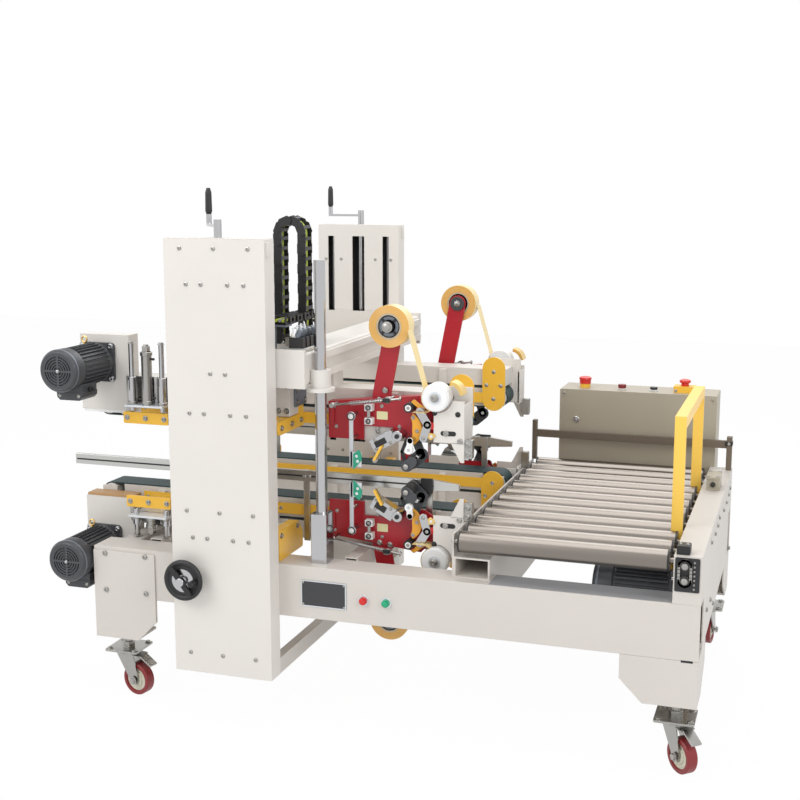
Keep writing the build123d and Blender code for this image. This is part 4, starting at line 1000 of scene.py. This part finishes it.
# Press units on the left ends of the belt frames

pressUnit = {"rods": (-379.5, -276.5), "y": -425, "cylinder": -328, "base": (900, 906), "foot": 884,
             "radius": {"rod": 8, "sleeve": 12, "collar": 15, "cylinder": 16, "cap": 18.5, "block": 9},
             "collarHigh": 9, "capHigh": 12, "belowTop": 24, "nutBelowTop": 8,
             "tie": {"x": (-66, 64), "cut": -22, "y": (-452, -311)}, "nozzle": [(4, 0), (4, 10), (2.6, 12)],
             "sleeve": 0.45, "sheet": (-413, -261), "sheetTop": 0.44, "sheetDepth": (-402.5, -396.5),
             "scale": (-312, -305, -410, -403), "hooks": (-405, -281), "hook": (12, -398, 868),
             "guard": {"left": -413, "right": -261, "low": 844, "high": 880, "front": -426, "back": -420},
             "tops": {"upper": 1092, "lower": 966}}


def pressParts(top):
    # Two rods in sleeves beside a cylinder, on a base sheet, with a yellow guard plate in front.
    u, g = pressUnit, pressUnit["guard"]
    low, high = u["base"]
    y, x, (left, right) = u["y"], u["cylinder"], u["sheet"]
    sleeve, sheet = (high + u[key] * (top - high) for key in ("sleeve", "sheetTop"))
    scaleLeft, scaleRight, *scaleDepth = u["scale"]
    wide, back, hookLow = u["hook"]
    (left0, right0), (near, far) = u["tie"]["x"], u["tie"]["y"]
    tie = [(x + u["tie"]["cut"], near), (x + right0, near), (x + right0, far), (x + left0, far),
           (x + left0, near)]
    r, head, block = u["radius"], top - u["belowTop"], u["radius"]["block"]
    return fromTable({
        "post": [(key, x0, y, radius, z0, z1) for x0 in u["rods"] for key, radius, z0, z1 in (
                 ("chrome", r["rod"], u["foot"], top), ("chrome", r["sleeve"], high, sleeve),
                 ("steel", r["collar"], high, high + u["collarHigh"]))]
                + [("steel", x, y, radius, z0, z1, 24) for radius, z0, z1 in (
                   (r["cylinder"], high, head), (r["cap"], high, high + u["capHigh"]),
                   (r["cap"], head - u["capHigh"], head))],
        "box": [("steel", x - block, x + block, y - block, y + block, head, top - u["nutBelowTop"])]
               + [("steel", x0, x0 + wide, g["back"], back, hookLow, low, 1) for x0 in u["hooks"]],
        "plate": [("paleSteel", tie, 0, low, high, "xy"),
                  ("steel", rectangle(left, right, low, sheet), 5, *u["sheetDepth"]),
                  ("white", rectangle(scaleLeft, scaleRight, high, sleeve), 0, *scaleDepth),
                  ("yellow", areaLine(g), 4, g["front"], g["back"])],
        "turned": [("black", u["nozzle"], (x + r["cylinder"], y, z), (1, 0, 0), 10)
                   for z in (high + 20, top - 46)],
        "screws": [("steel", "socket", 1, g["front"], [(-400, 862), (-337, 862), (-274, 862)])],
        "bolts": [("steel", "hex", [*((x0, y, top) for x0 in u["rods"]), (x, y, top - u["nutBelowTop"])],
                   (0, 0, 1), 1.1)]})


for level, (body, upper) in levels.items():
    parts = bothSides(pressParts(pressUnit["tops"][level]), upper)
    makePiece(f"{level}PressUnits", parts, body, 0.0004)
strapPlate = box(-588, -424, -366, -316, 862, 869.8, 2)
makePiece("bracketStraps", bothSides([("white", strapPlate)], True), "lift", 0.0006)
makePiece("bracketPads", bothSides([("wood", strapPlate)], False), "root", 0.0006)


# Blocks and guards that hang from the gantry beside the near column, and stand on the beam

carriageBlock = {
    "box": [("beige", 104.5, 149.5, -444.5, -381, 898, 1010, 3),
            ("slate", 150, 156, -412, -330, 921, 986, 3)],
    "plate": [("yellow", [*arc(-512.5, 876, 20, 90, 270, 9), (-339.5, 856), (-339.5, 936), (-366, 936),
                          (-379.5, 922), (-379.5, 896)], 0, 119.5, 149.5, "yz")],
    "screws": [("steel", "socket", 1, -444.5, rectangle(114, 140, 915, 990))],
    "bolts": [("steel", "socket", [(149.5, y, 876) for y in (-505, -430, -360)], (1, 0, 0)),
              ("steel", "hex", [(156, y, z) for y in (-400, -345) for z in (935, 972)], (1, 0, 0), 0.9)]}
standBlock = {
    "plate": [("yellow", [(-533, 485), (-357, 485), (-357, 535), (-392, 575), (-533, 575)], 8, *depth, "yz")
              for depth in ((119.5, 149.5), (59.5, 65))],
    "box": [("paleSteel", 65, 119.5, -525, -360, 487, 552, 2)],
    "post": [("chrome", 92, -500, 9, 552, 592, 18), ("white", 92, -500, 13, 592, 612, 18)],
    "bolts": [("steel", "socket", [(149.5, y, 560) for y in (-520, -400)], (1, 0, 0)),
              ("steel", "dome", [(92, -500, 612)], (0, 0, 1))]}
makePiece("carriageBlocks", bothSides(fromTable(carriageBlock), True), "lift", 0.0008)
makePiece("standBlocks", bothSides(fromTable(standBlock), True), "root", 0.0008)
print("press units and blocks made")


# Cable chains: leads inside the tall one, a second one lying on the gantry, and the valves beside them

leadRadius = 4.6
tallChain = {"left": 80, "y": -330, "low": 1112, "top": 1426, "bend": 37.9,
             "leads": (("cableGreen", -14), ("cableGrey", -1), ("cableGreen", 11))}
flatChain = {"x": 145, "width": 50, "height": 24, "pitch": 27, "low": 1114, "rise": 72, "near": -500,
             "back": -235, "leads": (("cableGreen", 13), ("cableGrey", 2), ("cableGreen", -10)),
             "leadBends": (-420, -330), "narrower": 6.6, "hidden": 4}
chainMounts = {"box": [("steel", 120, 170, -400, -386, 1100, 1126, 1),
                       ("slate", 118, 124, -512, -470, 1100, 1184, 1),
                       ("slate", 118, 172, -512, -470, 1170, 1174, 1)]}


def chainLink(width, pitch, height, lap=5):
    # Two cheeks with cut corners and a window, tied by two bars; it lies along y and stands up in z.
    a, h = pitch / 2 + lap, height / 2
    cheek = rounded([(-a, -h * 0.5), (-a * 0.7, -h), (a * 0.7, -h), (a, -h * 0.5), (a, h * 0.5), (a * 0.7, h),
                     (-a * 0.7, h), (-a, h * 0.5)], 2, 2)
    window = cheek * (0.45, 0.5)
    cheeks = [slab(cheek, x, x + 3, "yz", window) for x in (-width / 2, width / 2 - 3)]
    bars = [slab(rectangle(-4, 4, z, z + 3), -width / 2, width / 2, "yz") for z in (-h, h - 3)]
    return joined(*cheeks, *bars)


def flatLinks():
    # Along the lower run, round a half circle at the far end and back along the upper run.
    f = flatChain
    radius, count = f["rise"] / 2, int((f["back"] - f["near"]) // f["pitch"])
    bend = max(3, round(math.pi * radius / f["pitch"]))
    places = [(f["near"] + f["pitch"] * (i + 0.5), f["low"], 0) for i in range(f["hidden"], count)]
    far = f["near"] + f["pitch"] * count
    for i in range(bend):
        a = math.pi * (i + 0.5) / bend
        places.append((far + radius * math.sin(a), f["low"] + radius - radius * math.cos(a), math.degrees(a)))
    places += [(far - f["pitch"] * (i + 0.5), f["low"] + 2 * radius, 180) for i in range(count)]
    links = []
    for i, (y, z, turn) in enumerate(places):
        shape = chainLink(f["width"] - f["narrower"] * (i % 2), f["pitch"], f["height"])
        links.append(moved(spun(shape, (0, 0, 0), (1, 0, 0), turn), (f["x"], y, z)))
    return joined(*links)


def leadsAlong(path, leads, aside, across):
    # The same path for each lead, moved aside by its own distance.
    aside = np.array(aside)
    return [(key, carried(path + shift * aside, circle(leadRadius), across)) for key, shift in leads]


def flatLeads():
    # Level along the upper run of the flat chain.
    f = flatChain
    top = f["low"] + f["rise"]
    stops = (f["near"] - 2, *f["leadBends"], f["back"] - 20)
    return leadsAlong(smooth([(f["x"], y, top) for y in stops], 3), f["leads"], (1, 0, 0), (1, 0, 0))


def tallLeads():
    # Up the first run, round the half circle and down the second.
    c = tallChain
    up = [(c["left"], z) for z in np.linspace(c["low"], c["top"], 6)[:-1]]
    over = arc(c["left"] + c["bend"], c["top"], c["bend"], 180, 0, 15)
    line = np.concatenate((up, over, np.array(up[::-1]) + (2 * c["bend"], 0)))
    path = np.stack((line[:, 0], np.full(len(line), c["y"]), line[:, 1]), -1)
    return leadsAlong(path, c["leads"], (0, 1, 0), (0, 1, 0))


valves = {"count": 4, "first": -522, "pitch": 30, "tube": 2.6,
          "tubeStart": [(190, 10, 1149), (191, 14, 1158)], "tubeBend": (182, 46, 1164, 3),
          "tubeEnd": [(178, -378, 1150), (178, -362, 1112)], "endShift": 2,
          "rail": {"box": [("aluminium", 180, 230, -528, -398, 1100, 1112)]},
          "each": {"box": [("black", 184, 226, 0, 21, 1112, 1142, 2), ("white", 190, 208, 4, 17, 1142, 1149)],
                   "turned": [("slate", [(7, 0), (9, 2), (9, 22), (6, 26)], (206, 10, 1142), (0.5, 0, 1), 14),
                              ("brass", [(4, 0), (4, 6), (2.5, 8)], (190, 10, 1142), (0, 0, 1), 10)]}}


def valveStack():
    # The tubes start at the valves, spread a little and end together behind them.
    v = valves
    items = fromTable(v["rail"])
    bendX, bendY, bendZ, spread = v["tubeBend"]
    for i in range(v["count"]):
        y = v["first"] + v["pitch"] * i
        items += placed(fromTable(v["each"]), (0, y, 0))
        start = np.array(v["tubeStart"]) + (0, y, 0)
        end = np.array(v["tubeEnd"]) - (v["endShift"] * i, 0, 0)
        path = smooth([*start, (bendX - spread * i, y + bendY, bendZ + spread * i), *end], 6)
        items.append(("clearTube", carried(path, circle(v["tube"], 8), (1, 0.3, 0))))
    return items


makePiece("flatChain", [("black", flatLinks()), *fromTable(chainMounts)], "lift")
makePiece("chainLeads", tallLeads() + flatLeads(), "lift")
makePiece("valveStack", valveStack(), "lift", 0.0005)
print("cable chains made")


# Roller table: the drive at its near right corner, boxes on the right side

tableDrive = {"x": 1306, "ends": (592, 552), "radius": 13, "teeth": 13, "tooth": 2.2, "front": -561,
              "face": -551, "link": (6, 6.5, 5), "linkPitch": 9, "panel": (1280, 1344, 520, 612), "hole": 3,
              "clear": 19.5,
              "holePitch": (10.5, 12), "firstHole": (8, 9), "holes": (5, 7)}


def toothed(x, z, radius, teeth, y0, y1):
    # Outline whose radius rises and falls once for each tooth.
    a = np.linspace(0, 2 * np.pi, teeth * 6, endpoint=False)
    size = radius + tableDrive["tooth"] * np.cos(teeth * a)
    return slab(np.stack((x + size * np.cos(a), z + size * np.sin(a)), -1), y0, y1)


def driveLinks():
    # Links follow the straight stretches of a loop round both sprockets, evenly spread along each.
    d = tableDrive
    long, wide, deep = d["link"]
    loop = stadium(*((d["x"], z) for z in d["ends"][::-1]), 2 * d["radius"] + deep, 13)
    run = np.roll(loop, -1, 0) - loop
    shapes = []
    for (x, z), (dx, dz) in zip(loop + run / 2, run):
        size = math.hypot(dx, dz)
        count = max(1, round(size / d["linkPitch"]))
        for k in range(count):
            shift = size * ((k + 0.5) / count - 0.5)
            outline = stadium((shift - long / 2, 0), (shift + long / 2, 0), wide, 5)
            flat = slab(outline, d["front"], d["front"] + deep)
            turn = -math.degrees(math.atan2(dz, dx))
            shapes.append(moved(spun(flat, (0, 0, 0), (0, 1, 0), turn), (x, 0, z)))
    return joined(*shapes)


def driveCorner():
    # Perforated panel, two sprockets on their pins and the chain round them.
    d = tableDrive
    x, front = d["x"], d["front"]
    (x0, z0), (dx, dz), (across, up) = d["firstHole"], d["holePitch"], d["holes"]
    left, right, low, high = d["panel"]
    dots = [(left + x0 + dx * i, low + z0 + dz * j) for i in range(across) for j in range(up)]
    sprockets = [("chainSteel", toothed(x, z, d["radius"], d["teeth"], front + 1, front + 4))
                 for z in d["ends"]]
    return [("steel", driveLinks())] + sprockets + fromTable({
        "plate": [("darkInside", rectangle(left, right, low, high), 4, -553.5, d["face"])],
        "pin": [("steel", *dot, d["hole"], -554.3, -553, 10) for dot in dots if abs(dot[0] - x) > d["clear"]]
               + [("steel", x, z, 7, front - 4, d["face"], 16) for z in d["ends"]],
        "screws": [("steel", "hex", 0.8, front - 4, [(x, z) for z in d["ends"]])]})


makePiece("tableDrive", driveCorner(), "root")
endRings = {"count": 12, "first": -506, "pitch": 92, "z": 588, "x": (684.5, 1256.5),
            "profile": [(26, 0), (30.4, 0), (30.4, 5), (26, 5)]}
for k in range(endRings["count"]):
    y = endRings["first"] + endRings["pitch"] * k
    rings = [("black", turned(endRings["profile"], (x, y, endRings["z"]), (1, 0, 0), 28, ring=True))
             for x in endRings["x"]]
    makePiece(f"rollerRings_{k + 1:02d}", rings, f"roller_{k + 1:02d}")
tableBoxes = {
    "box": [("cabinet", 1293, 1333, 200, 290, 616, 656, 3), ("cabinet", 1291, 1335, 198, 292, 652, 659, 2),
            ("black", 1281, 1316, -540, -500, 616, 640, 3), ("black", 1326, 1350, 505, 534, 700, 714, 2)],
    "turned": [("black", [(8, 0), (8, 8), (5, 14)], (1313, 200, 636), (0, -1, 0), 14)],
    "bolts": [("steel", "small", [(x, y, 659) for x in (1298, 1328) for y in (206, 284)], (0, 0, 1)),
              ("steel", "small", [(1290, -520, 640), (1308, -520, 640)], (0, 0, 1)),
              ("steel", "small", [(1338, 505, 707)])]}
makePiece("tableBoxes", fromTable(tableBoxes), "root", 0.0008)


# Small fittings on guides, guards and casters

guideTrim = {
    "screws": [("steel", "dome", 1, -339, [(x, 698) for x in (-230, -215, 150, 165, 525, 540)])],
    "plate": [("darkInside", rectangle(-640, 558, 695.5, 700.5), 0, -339.5, -338.9)],
    "box": [("black", 520, 556, -347, -339, 676, 720, 2)]}
guardScrews = {
    "bolts": [("steel", "dome", [(x, -193, z) for x, z in ((601, 872), (601, 962), (577, 917), (625, 917))],
               (0, 1, 0))],
    "screws": [("steel", "small", 1, -315, [(x, 874) for x in (-400, -160, 60, 300, 540)])]}
makePiece("guideTrim", bothSides(fromTable(guideTrim), True), "root", 0.0004)
for level, (body, upper) in levels.items():
    makePiece(f"{level}GuardScrews", bothSides(fromTable(guardScrews), upper), body)
casters = {"front_left": (-388, -485), "front_right": (1290, -485), "rear_left": (-388, 485),
           "rear_right": (1290, 485)}
casterBolts = {"spread": (-42, 42), "z": 150, "trail": 36, "half": 28, "axle": 50}
plateBolts = [(x + dx, y + dy, casterBolts["z"]) for x, y in casters.values()
              for dx in casterBolts["spread"] for dy in casterBolts["spread"]]
makePiece("casterBolts", [("steel", bolts("hex", plateBolts, (0, 0, 1)))], "root")
for place, (x, y) in casters.items():
    # The axle lies behind the swivel by the trail; its nuts look outwards on both sides of the fork.
    turn = math.radians(wheelSize["turns"][place])
    ahead = np.array((math.cos(turn), math.sin(turn), 0))
    aside = np.array((-math.sin(turn), math.cos(turn), 0))
    axle = np.array((x, y, casterBolts["axle"])) + casterBolts["trail"] * ahead
    nuts = [("steel", fastener("hex", axle + way * casterBolts["half"] * aside, way * aside, 1.2))
            for way in (-1, 1)]
    makePiece(f"axleNuts_{place}", nuts, f"fork_{place}")
print("small fittings made")


bpy.context.view_layer.update()
